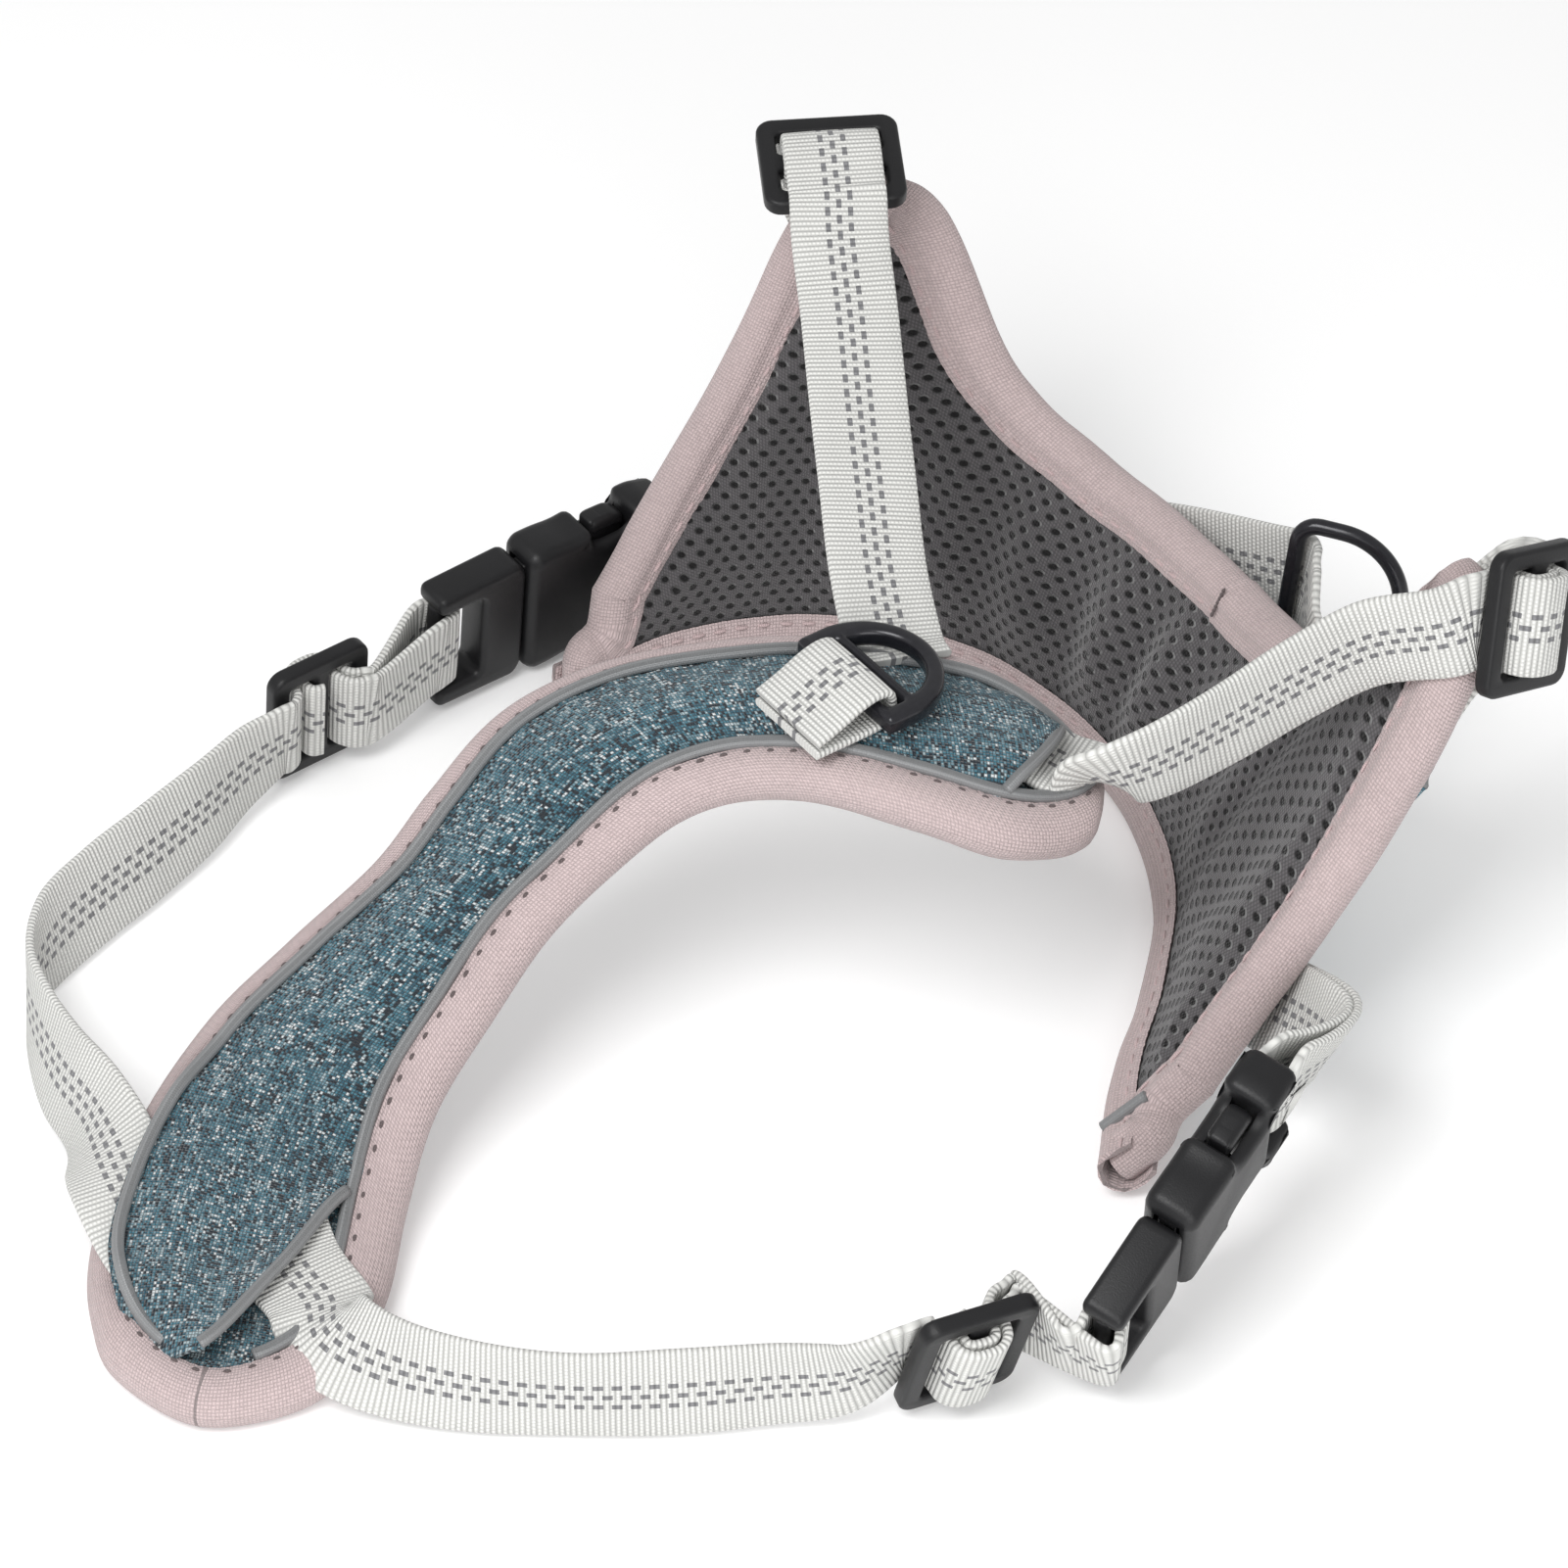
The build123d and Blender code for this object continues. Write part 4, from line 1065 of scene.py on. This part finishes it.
back_cord("cord_left_side", "back_left_side_piping", 0.04, 0.17)
back_cord("cord_neck", "back_neck_piping", 0.28, 0.72)
back_cord("cord_right_side", "back_right_side_piping", 0.87, 0.965)
back_cord("cord_rear", "back_rear_piping", 0.05, 0.95, rear=True)


def chest_cord(name, node, side, first, last, inset=8.0):
    route = []
    count = int((last - first) * 6)
    for k in range(count + 1):
        row = first + (last - first) * k / count
        share = edge_share(row, side, inset)
        off = 3.9 + 0.12 * ripple(chest_point(row, share), 8.0, 3.0) + (strap_lift(row) if side < 0 else 0.0)
        route.append((chest_point(row, share, off), chest_face(row)))
    cord = round_cord(name, route, piping_radius, reflective, "root")
    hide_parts(node)


chest_cord("cord_chest_near", "chest_near_piping", 1, 2.6, 45.6)
chest_cord("cord_chest_far", "chest_far_piping", -1, 2.6, 44.0)


def mouth_cord(name, mouth, low, high):
    route = []
    for k in range(49):
        share = low + (high - low) * k / 48
        row = mouth(share)
        width = chest_width(row)
        edge = (min(share, 1 - share)) * width - 5.6
        off = 3.2 + 2.6 * ease(edge / 11.0) + mouth_lift * ease(edge / 5.0)
        route.append((chest_point(row, share, off), chest_face(row)))
    return round_cord(name, route, piping_radius, reflective, "root")


mouth_cord("cord_front_mouth", front_mouth, 0.22, 0.79)
mouth_cord("cord_rear_mouth", rear_mouth, 0.47, 0.80)


# ---------------------------------------------------------------- stitches
def seam(name, place, count, d, off, material, start=0.0, pitch=stitch_pitch, last=None, length=stitch_length):
    points = [place(k, d, off) for k in range(0, last or count)]
    outs = [(place(k, d, off) - place(k, d, 0.0)).normalized() for k in range(0, last or count)]
    return stitches(name, along_line(points, outs, pitch, start), material, length)


seam("stitches_neck_inside", cap_place, 420, 6.4, -3.5, pale_thread, 1.0)
seam("stitches_neck_outside", cap_place, 420, 6.1, 3.72, pale_thread, 2.0)
seam("stitches_rear_inside", rear_place, 300, 6.4, -3.6, pale_thread, 1.0)
seam("stitches_rear_outside", rear_place, 300, 6.1, 3.72, pale_thread, 2.0)
# The chest's outer seam is drawn in the darkened mauve thread: painted shade.
seam("stitches_chest_outside", loop_place, loop_steps, 6.1, 3.72, mauve_thread_painted_shade, 1.0, length=1.3)
seam("stitches_chest_inside", loop_place, loop_steps, 6.4, -3.5, pale_thread, 2.0)


def overlap_place(k, d, off):
    return cap_place(k + 222, d * 1.04 - 0.25, off * 1.13)


spine_overlap = fold_tape("tape_spine_overlap", overlap_place, 36)
tack = [(cap_place(223, 1.6 + 0.75 * k, -4.35), Vector((0, 0, 1)), Vector((-0.6, -0.7, 0.2))) for k in range(7)]
# The spine bartack is drawn in the darkened mauve thread: painted shade.
stitches("bartack_spine", [
    (place, (cap_place(223, 6, 0) - cap_place(223, 1, 0)).normalized(), up) for place, _, up in tack
], mauve_thread_painted_shade, 0.9)
end_line = [(flat_point(rear_length - 7.0, 2.5 + 0.7 * k, -3.9), Vector((0, -1, 0))) for k in range(13)]
round_cord("cord_folded_end", end_line, piping_radius, reflective, "root")


# ---------------------------------------------------------------- straps
def strap(name, segments, nodes):
    """Webbing along one route, cut where its pieces move differently.

    Each segment is (points, suffix, how): how is a body to ride; a tuple (a, b, start, end) is not used, and such a
    piece rides no body.
    """
    route = [step for points, _, _ in segments for step in points]
    points = [point for point, _ in route]
    ways = [way for _, way in route]
    steps = 9
    total = (len(route) - 1) * steps
    centres = [curve_at(points, k / steps) for k in range(total + 1)]
    across = [curve_at(ways, k / steps) for k in range(total + 1)]
    reach = lengths(centres)
    section = ribbon_section()
    first = 0
    laid = 0
    for places, suffix, how in segments:
        laid += len(places)
        last = (laid - 1) * steps
        sections, uvs = [], []
        for k in range(first, last + 1):
            ahead = heading(centres, k)
            way = square_to(across[k], ahead)
            out = way.cross(ahead)
            wave = 0.22 * ripple(centres[k], 15.0, 3.0)
            curl = 0.16 * ripple(centres[k], 28.0, 7.0)
            sections.append([
                centres[k] + way * x + out * (y + wave * (1 - (x / 7.5) ** 2) + curl * x / 7.5) for x, y in section
            ])
            uvs.append([(x + webbing_width / 2, reach[k]) for x, _ in section])
        piece = tube(name + "_" + suffix, sections, uvs, webbing, None)
        smooth_by_angle(piece, math.radians(65))
        if isinstance(how, str):
            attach(piece, how)
        else:
            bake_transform(piece)
        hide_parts(nodes)
        first = last


def along_frame(frame_of, places):
    return [(in_frame(frame_of, x, y), frame_of[3]) for x, y in places]


def through_adjuster(frame_of):
    return along_frame(frame_of, [
        (-9.4, -2.9), (-6.6, -2.9), (-4.8, -1.7), (-4.2, 0.4), (-3.7, 2.5), (-2.1, 3.9), (0, 4.2),
        (2.1, 3.9), (3.7, 2.5), (4.2, 0.4), (4.8, -1.7), (6.6, -2.9),
    ])


def over_adjuster(frame_of):
    """Over the near rail and the centre bar, then down through the far slot."""
    return along_frame(frame_of, [
        (-9.6, 2.7), (-7.6, 3.0), (-5.6, 3.3), (-3.6, 3.8), (-1.8, 4.1), (0, 4.2),
        (2.1, 3.9), (3.7, 2.5), (4.2, 0.4), (4.8, -1.7), (6.6, -2.9),
    ])


def round_centre_bar(frame_of):
    return along_frame(frame_of, [
        (9.4, -4.8), (6.2, -4.8), (4.2, -4.0), (2.9, -2.0), (2.5, 0), (2.1, 2.1), (0, 2.55),
        (-2.1, 2.1), (-2.5, 0), (-2.1, -1.9), (-0.4, -2.6),
    ])


def round_bar(frame_of):
    return along_frame(frame_of, [
        (-3.4, 2.2), (0, 2.6), (2.3, 1.9), (3.0, 0), (2.3, -1.9), (0, -2.6), (-4, -3.4),
    ])


def free_run(rows):
    return [(spot(point), Vector(way).normalized()) for point, way in rows]


def sewn_to_chest(rows, side):
    places = [chest_point(row, share, off) for row, share, off in rows]
    return [
        (place, chest_face(rows[index][0]).cross(heading(places, index)) * side)
        for index, place in enumerate(places)
    ]


def on_back(place, height, off, side=1):
    return back_point(place, height, off), back_rise(place) * side


def down_back(place, height, off):
    run = (back_foot(place + 0.01) - back_foot(place - 0.01)).normalized()
    return back_point(place, height, off), run


left_girth_frame = fitting_frame(left_adjuster, left_girth_ahead, left_girth_across)
left_bar_frame = fitting_frame(left_bar, left_girth_ahead, left_girth_across)
right_adjuster_frame = fitting_frame(right_adjuster, right_adjuster_ahead, right_adjuster_across)
right_bar_frame = fitting_frame(right_bar, right_buckle_ahead, right_buckle_across)
left_mouth = shifted(left_bar_frame, bar_to_mouth)
right_mouth = shifted(right_bar_frame, bar_to_mouth)
left_neck_frame = fitting_frame(left_neck_adjuster, left_neck_ahead, left_neck_across)
right_neck_frame = fitting_frame(right_neck_adjuster, right_neck_ahead, right_neck_across)
front_frame = fitting_frame(front_ring_place, front_ring_out, front_ring_across)


def girth_strap(hand, sewn, run, adjuster, bar, bend_from):
    start = run[bend_from][0]
    loop = [(in_frame(adjuster, 9.4, -2.9), adjuster[3])] + round_bar(bar)
    half, slider = hand + "_male_half", hand + "_girth_slider"
    strap("webbing_" + hand + "_girth", [
        (sewn + run, "run", ("root", half, start, in_frame(adjuster, -10, -2.9))),
        (through_adjuster(adjuster), "threaded", slider),
        (loop, "loop", (half, slider, in_frame(bar, -6, 0), in_frame(adjuster, 9.4, -2.9))),
        (round_centre_bar(adjuster), "sewn_end", slider),
    ], hand + "_girth_webbing")


girth_strap(
    "left", sewn_to_chest([(5.0, 0.34, 4.0), (6.3, 0.20, 4.4), (7.5, 0.06, 4.9)], -1),
    free_run([
        ((-98, -39, 10.4), (0.35, 0.62, 0.70)), ((-104, -28, 9.0), (0.33, 0.35, 0.88)),
        ((-108.5, -17, 8.6), (0.20, 0.12, 0.97)), ((-110.5, -7, 8.4), (0.03, 0.10, 0.99)),
        ((-108, 3, 8.2), (-0.06, 0.45, 0.89)), ((-102, 13, 8.1), (0.0, 0.55, 0.83)),
        ((-95, 22, 8.4), (0.0, 0.50, 0.87)), ((-88, 31, 9.2), (0.0, 0.38, 0.92)),
        ((-82, 39.5, 10.4), (0.02, 0.12, 0.99)),
    ]), left_girth_frame, left_bar_frame, 4)
girth_strap(
    "right", sewn_to_chest([(9.6, 0.44, 3.9), (7.9, 0.55, 4.0), (6.3, 0.67, 4.3), (4.9, 0.82, 4.9)], -1),
    free_run([
        ((-61, -83, 9.4), (-0.60, -0.50, -0.62)), ((-53, -88, 8.6), (-0.42, -0.28, -0.86)),
        ((-41, -91.5, 8.3), (-0.25, -0.15, -0.95)), ((-27, -93, 8.3), (-0.02, -0.05, -1.0)),
        ((-13, -92.5, 8.3), (0.0, -0.10, -1.0)), ((0, -91.5, 8.8), (0.0, -0.02, -1.0)),
        ((10, -91.5, 10.0), (-0.08, 0.10, -0.99)),
    ]), right_adjuster_frame, right_bar_frame, 2)


def neck_strap(hand, free, threaded, adjuster, over, held, back):
    slider = hand + "_neck_slider"
    tail = over + held + back
    strap("webbing_" + hand + "_neck", [
        (free, "run", "root"),
        (threaded, "threaded", slider),
        (tail, "tail", ("root", slider, held[0][0], over[0][0])),
        (round_centre_bar(adjuster)[1:], "sewn_end", slider),
    ], hand + "_neck_webbing")


strap_way = Vector((0.97, 0.20, -0.12)).normalized()
neck_strap(
    "left",
    [(chest_point(36.4, 0.15, 4.3), strap_way), (chest_point(36.2, 0.02, 4.4), strap_way)] + free_run([
        ((15.6, 23, 62.5), (0.97, 0.22, -0.14)), ((14.3, 36, 67.3), (0.97, 0.20, -0.12)),
        ((13.0, 50, 72.4), (0.98, 0.15, -0.08)), ((11.7, 65, 78.2), (0.99, 0.12, -0.05)),
        ((10.4, 75, 84.5), (0.99, 0.11, -0.02)),
    ]),
    over_adjuster(left_neck_frame), left_neck_frame,
    along_frame(left_neck_frame, [(9.8, -3.6), (12.6, -6.2), (13.8, -10.5), (13.0, -15.5)]),
    [down_back(0.22, height, 5.9) for height in (68, 60, 52, 45)] + [down_back(0.22, 43.2, 5.0)]
    + [down_back(0.22, height, 4.4) for height in (45, 52, 60, 68)],
    along_frame(left_neck_frame, [(11.3, -14.8), (11.9, -10.6), (10.6, -7.4)]),
)
neck_strap(
    "right",
    sewn_to_chest([(38.4, 0.40, 3.9), (40.4, 0.46, 4.0), (42.4, 0.52, 4.3), (44.6, 0.60, 5.2)], 1) + free_run([
        ((49, -13.5, 53.0), (0.30, 0.35, -0.88)), ((56, -12.5, 55.4), (0.15, 0.10, -0.98)),
        ((66, -7, 57.8), (0.18, 0.02, -0.98)), ((76, -2, 61.6), (0.24, 0.0, -0.97)),
        ((86, 0.9, 65.8), (0.20, -0.06, -0.98)), ((96, -1.0, 69.2), (0.16, -0.13, -0.98)),
    ]),
    through_adjuster(right_neck_frame), right_neck_frame,
    along_frame(right_neck_frame, [(9.4, -3.6), (11.6, -6.6), (11.0, -10.4)]),
    free_run([((104.5, 13.0, 58.5), (0.03, -0.70, -0.71))])
    + [down_back(0.79, height, 6.2) for height in (65, 58, 51)] + [down_back(0.79, 48.5, 5.2)]
    + [down_back(0.79, height, 4.5) for height in (51, 58, 65)] + free_run([((102.8, 12.4, 57.4), (0.03, -0.70, -0.71))]),
    along_frame(right_neck_frame, [(9.4, -9.4), (9.8, -6.8), (8.0, -5.0)]),
)

buckle_loop = [(31, 2.4), (27.6, 2.6), (25.4, 1.9), (24.6, 0), (25.4, -1.9), (27.6, -2.6), (31, -2.0)]
strap("webbing_left_buckle", [(
    [on_back(0.31, 14, 5.6), on_back(0.27, 14, 6.0)] + free_run([((-4, 98.4, 13.6), left_girth_across)])
    + along_frame(left_mouth, buckle_loop) + free_run([((-3.4, 96.6, 13.6), left_girth_across)])
    + [on_back(0.27, 14, 4.3), on_back(0.31, 14, 3.95)], "loop", "root")], "left_buckle_webbing")
strap("webbing_right_buckle", [(
    [on_back(0.80, 20, 5.6, -1), on_back(0.85, 20, 6.0, -1)] + free_run([((80.5, -37, 24), (-0.35, 0.3, -0.87))])
    + along_frame(right_mouth, buckle_loop) + free_run([((79.0, -38, 24.8), (-0.35, 0.3, -0.87))])
    + [on_back(0.85, 20, 4.3, -1), on_back(0.80, 20, 3.95, -1)], "loop", "root")], "right_buckle_webbing")
strap("webbing_handle", [(
    [on_back(0.335, 24, 4.2), on_back(0.37, 25, 4.4)] + free_run([
        ((60, 69.0, 31.0), (0.20, 0.15, 0.97)), ((78.2, 55.0, 37.0), back_ring_up),
        ((81.4, 52.6, 37.9), back_ring_up), ((82.4, 50.0, 38.0), back_ring_up),
        ((82.2, 47.0, 37.8), back_ring_up), ((81.8, 42.0, 36.2), back_ring_up),
        ((80.5, 33.0, 29.5), (0.34, 0.08, 0.93)),
    ]) + [on_back(0.63, 24, 4.6), on_back(0.665, 23, 4.2)], "drawn_up", "root")], "handle_webbing")
strap("webbing_front_tab", [(along_frame(front_frame, [
    (-11.5, -1.2), (-7.5, 0.4), (-4, 2.1), (-0.9, 2.9), (1.4, 2.3), (2.05, 0), (1.4, -2.4),
    (-0.9, -3.0), (-4, -3.1), (-8, -3.1), (-11.5, -3.1),
]), "fold", "root")], "front_ring_tab")


tacks = []
for place in (0.338, 0.350, 0.650, 0.662):
    line = [back_point(place, 17.0 + 0.9 * k, 5.2) for k in range(16)]
    tacks += along_line(line, [back_face(place)] * len(line), 1.9, 0.4)
stitches("bartacks_handle", tacks, grey_thread, 1.5)


# ---------------------------------------------------------------- pockets over the sewn strap ends
def pocket(name, node, first, last, low, high, mouth):
    """A fabric patch over the doubled webbing, open and piped on its mouth side."""
    grid, uvs = [], []
    columns, rows = 26, 24
    for c in range(columns + 1):
        u = first + (last - first) * c / columns
        row_points, row_uvs = [], []
        for r in range(rows + 1):
            h = low + (high - low) * r / rows
            sides = {"first": (u - first) * rear_length, "last": (last - u) * rear_length,
                     "low": h - low, "high": high - h}
            edge = min(value for key, value in sides.items() if key != mouth)
            off = 4.6 + 3.0 * ease(edge / 6.0) + 0.25 * ripple(Vector((u * rear_length, h, 0)), 9.0, 2.0)
            row_points.append(back_point(u, h, off))
            row_uvs.append((u * rear_length, h))
        grid.append(row_points)
        uvs.append(row_uvs)
    patch = cloth_sheet("canvas_" + name, grid, uvs, 0.8, canvas, "root")
    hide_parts(node)
    if mouth == "high":
        line = [(grid[c][rows], back_face(first + (last - first) * c / columns)) for c in range(columns + 1)]
    elif mouth == "first":
        line = [(grid[0][r], back_face(first)) for r in range(rows + 1)]
    else:
        line = [(grid[columns][r], back_face(last)) for r in range(rows + 1)]
    round_cord("cord_" + name, line, piping_radius, reflective, "root")
    rim = [grid[c][1] for c in range(1, columns)] + [grid[columns - 1][r] for r in range(1, rows)]
    rim += [grid[c][rows - 1] for c in range(columns - 1, 0, -1)] + [grid[1][r] for r in range(rows - 1, 0, -1)]
    faces = [back_face((first + last) / 2)] * len(rim)
    # The pocket stitches are drawn in the darkened mauve thread: painted shade.
    stitches("stitches_" + name, along_line(rim, faces, 3.0), mauve_thread_painted_shade, 1.5)


pocket("left_neck_pocket", "left_neck_pocket", 0.172, 0.268, 40, 62, "high")
pocket("right_neck_pocket", "right_neck_pocket", 0.752, 0.828, 37, 58, "high")
pocket("left_buckle_pocket", "left_buckle_pocket", 0.275, 0.345, 5, 23, "first")
pocket("right_buckle_pocket", "right_buckle_pocket", 0.765, 0.845, 9, 30, "last")


# ---------------------------------------------------------------- plastic parts
def carved(base, cuts):
    """A moulded plate with boxes (x low, x high, y low, y high, z low, z high) cut out of it."""
    verts, faces = base
    mesh = bpy.data.meshes.new("base")
    mesh.from_pydata(verts, [], faces)
    body = bpy.data.objects.new("base", mesh)
    bpy.context.scene.collection.objects.link(body)
    tools = []
    weld = body.modifiers.new("weld", "WELD")
    weld.merge_threshold = 0.01
    for x0, x1, y0, y1, z0, z1 in cuts:
        corners = [Vector((x, y, z)) for x in (x0, x1) for y in (y0, y1) for z in (z0, z1)]
        box_faces = [(0, 1, 3, 2), (4, 6, 7, 5), (0, 4, 5, 1), (2, 3, 7, 6), (0, 2, 6, 4), (1, 5, 7, 3)]
        box_mesh = bpy.data.meshes.new("cut")
        box_mesh.from_pydata(corners, [], box_faces)
        tool = bpy.data.objects.new("cut", box_mesh)
        bpy.context.scene.collection.objects.link(tool)
        step = body.modifiers.new("cut", "BOOLEAN")
        step.operation = "DIFFERENCE"
        step.solver = "EXACT"
        step.object = tool
        tools.append(tool)
    bpy.context.view_layer.update()
    result = bpy.data.meshes.new_from_object(body.evaluated_get(bpy.context.evaluated_depsgraph_get()))
    out = [Vector(v.co) for v in result.vertices], [tuple(p.vertices) for p in result.polygons]
    bpy.data.meshes.remove(result)
    for item in tools + [body]:
        data = item.data
        bpy.data.objects.remove(item)
        bpy.data.meshes.remove(data)
    return out


def soft_corners(points, radius, steps=5):
    """The outline with its corners rounded."""
    rounded_points = []
    count = len(points)
    for index in range(count):
        before, here, after = (Vector((*points[(index + k) % count], 0)) for k in (-1, 0, 1))
        reach = min(radius, (before - here).length * 0.45, (after - here).length * 0.45)
        a = here + (before - here).normalized() * reach
        b = here + (after - here).normalized() * reach
        for step in range(steps + 1):
            t = step / steps
            point = a * (1 - t) ** 2 + here * 2 * t * (1 - t) + b * t * t
            rounded_points.append((point.x, point.y))
    return rounded_points


def adjuster(name, node, frame_of, body):
    slots = [rounded(1.6, 5.9, 8.1, 0.8), rounded(-5.9, -1.6, 8.1, 0.8)]
    frame_plate = plate([rounded(-9, 9, 11, 2.6)] + slots, 2.8, 0.7)
    moulding(name, [frame_plate], frame_of, body, node)


def buckle(hand, mouth, up):
    male_body = carved(plate([soft_corners([
        (-0.2, 10.0), (-1.6, 12.0), (-16.9, 11.6), (-16.9, 8.3), (-8.4, 8.3), (-8.4, -8.3), (-16.9, -8.3),
        (-16.9, -11.6), (-1.6, -12.0), (-0.2, -10.0),
    ], 1.6)], 6.6, 1.1), [])
    bar = plate([rounded(-16.8, -14.0, 8.9, 1.0)], 2.8, 1.0)
    tongue = plate([rounded(-1.0, 16.5, 2.5, 1.2)], 2.8, 0.5)
    moulding(hand + "_buckle_male_half", [male_body, bar, tongue], mouth, hand + "_male_half", hand + "_buckle_male")
    for which, side in (("upper", up), ("lower", -up)):
        outline = soft_corners([
            (0.25, side * 6.6), (19, side * 6.6), (20, side * 8.6), (17.8, side * 11.7), (15.8, side * 12.35),
            (13.2, side * 12.35), (13.2, side * 9.4), (0.25, side * 9.4),
        ], 0.8)
        button = soft_corners([
            (13.3, side * 9.2), (20.2, side * 9.2), (19.9, side * 11.0), (18.2, side * 12.2), (13.3, side * 12.4),
        ], 1.4)
        moulding(
            hand + "_buckle_" + which + "_arm_latch", [plate([outline], 3.2, 0.6), plate([button], 4.0, 1.1)], mouth,
            hand + "_" + which + "_button", hand + "_buckle_" + which + "_arm")
    shell = plate([soft_corners([
        (0.15, 11.0), (1.6, 12.5), (5.0, 12.5), (9.0, 12.0), (12.4, 12.4), (12.8, 9.4), (14.6, 8.5), (19.0, 8.5),
        (20.7, 9.4), (21.0, 12.3), (24.0, 12.4), (28.8, 10.9), (28.8, 8.3), (22.4, 8.3), (22.4, -8.3),
        (28.8, -8.3), (28.8, -10.9), (24.0, -12.4), (21.0, -12.3), (20.7, -9.4), (19.0, -8.5), (14.6, -8.5),
        (12.8, -9.4), (12.4, -12.4), (9.0, -12.0), (5.0, -12.5), (1.6, -12.5), (0.15, -11.0),
    ], 1.6)], 8.6, 2.0)
    shell = carved(shell, [(-1.0, 20.8, -10.4, 10.4, -2.1, 2.1)])
    bar = plate([rounded(26.2, 29.0, 8.9, 1.0)], 2.8, 1.0)
    rib = plate([rounded(21.6, 23.4, 9.0, 0.8)], 5.4, 0.8)
    moulding(hand + "_buckle_housing", [shell, bar, rib], mouth, "root", hand + "_buckle_female")


for node_name, its_frame, its_body in (
    ("left_girth_adjuster", left_girth_frame, "left_girth_slider"),
    ("right_girth_adjuster", right_adjuster_frame, "right_girth_slider"),
    ("left_neck_adjuster", left_neck_frame, "left_neck_slider"),
    ("right_neck_adjuster", right_neck_frame, "right_neck_slider"),
):
    adjuster("slide_" + node_name, node_name, its_frame, its_body)
buckle("left", left_mouth, -1)
buckle("right", right_mouth, 1)

front_outline = [(2, 11.2), (-1.6, 11.2), (-1.6, -11.2), (2, -11.2)]
front_outline += arc((2, -11.2), (14.0, 0), (2, 11.2), 36)[1:-1]
front_outline = front_outline[::-1]
front_opening = [(5.0, -7.6), (5.0, 7.6)] + arc((5.0, 7.6), (11.5, 0), (5.0, -7.6), 28)[1:-1]
front_slot = rounded(0.3, 3.3, 8.1, 0.7)
moulding(
    "moulded_chest_ring",
    [plate([soft_corners(front_outline[-4:] + front_outline[:-4], 0.8, 2), soft_corners(front_opening, 0.8, 2), front_slot], 3.2, 1.0)],
    front_frame, "front_ring", "front_leash_ring", wire)


def wire_ring():
    """The welded wire ring: a straight bar in the handle's fold and a round bow."""
    place = spot(back_ring_place)
    up = Vector(back_ring_up).normalized()
    out = square_to(Vector(back_ring_out), up)
    radius = 1.3
    half, bow, corner = 10.7, 17.4, 3.0
    flat = [(0, -half + corner), (0, 0), (0, half - corner)]
    flat += [(corner - corner * math.cos(t), half - corner + corner * math.sin(t)) for t in (0.4, 0.8, 1.2, 1.57)]
    flat += [(bow - half + half * math.sin(t), half * math.cos(t)) for t in [math.pi * k / 30 for k in range(31)]]
    flat += [(corner - corner * math.cos(t), -half + corner - corner * math.sin(t)) for t in (1.57, 1.2, 0.8, 0.4)]
    path = evenly([place + out * x + up * y for x, y in flat + flat[:1]], 121)[:-1]
    face = out.cross(up)
    ring = round_cord("welded_back_ring", [(p, face) for p in path], radius, wire, "back_ring", True, 20)
    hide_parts("back_leash_ring")


wire_ring()


# ---------------------------------------------------------------- floor, light and camera
def staging(name, verts, faces, colour):
    mesh = bpy.data.meshes.new(name)
    mesh.from_pydata(verts, [], faces)
    paper = bpy.data.materials.new(name)
    paper.use_nodes = True
    shader = paper.node_tree.nodes["Principled BSDF"]
    shader.inputs["Base Color"].default_value = (*colour, 1)
    shader.inputs["Roughness"].default_value = 0.9
    shader.inputs["Emission Color"].default_value = (1, 1, 1, 1)
    shader.inputs["Emission Strength"].default_value = 0.16
    mesh.materials.append(paper)
    piece = bpy.data.objects.new(name, mesh)
    bpy.context.scene.collection.objects.link(piece)


staging("pale_floor", [(-3, -3, 0), (3, -3, 0), (3, 3, 0), (-3, 3, 0)], [(0, 1, 2, 3)], (0.90, 0.90, 0.90))

world = bpy.data.worlds.new("studio")
world.use_nodes = True
world.node_tree.nodes["Background"].inputs[0].default_value = (1, 1, 1, 1)
world.node_tree.nodes["Background"].inputs[1].default_value = 0.60
bpy.context.scene.world = world


def soft_light(name, place, size, power):
    data = bpy.data.lights.new(name, "AREA")
    data.shape = "SQUARE"
    data.size = size
    data.energy = power
    lamp = bpy.data.objects.new(name, data)
    lamp.location = place
    lamp.rotation_euler = (Vector((0, 0, 0.03)) - Vector(place)).to_track_quat("-Z", "Y").to_euler()
    bpy.context.scene.collection.objects.link(lamp)


soft_light("key", (-0.22, -0.34, 0.62), 0.36, 3.3)
soft_light("front", (0.10, -0.62, 0.26), 0.40, 1.5)

camera_data = bpy.data.cameras.new("camera")
camera_data.lens = 133.0
camera_data.sensor_width = 36
camera = bpy.data.objects.new("camera", camera_data)
target = Vector((-0.0008, -0.0068, 0.04003))
camera.location = target + Vector((0, -0.766, 0.643)) * 0.85
camera.rotation_euler = (math.radians(50), 0, 0)
bpy.context.scene.collection.objects.link(camera)
bpy.context.scene.camera = camera
bpy.context.scene.view_settings.view_transform = "Standard"
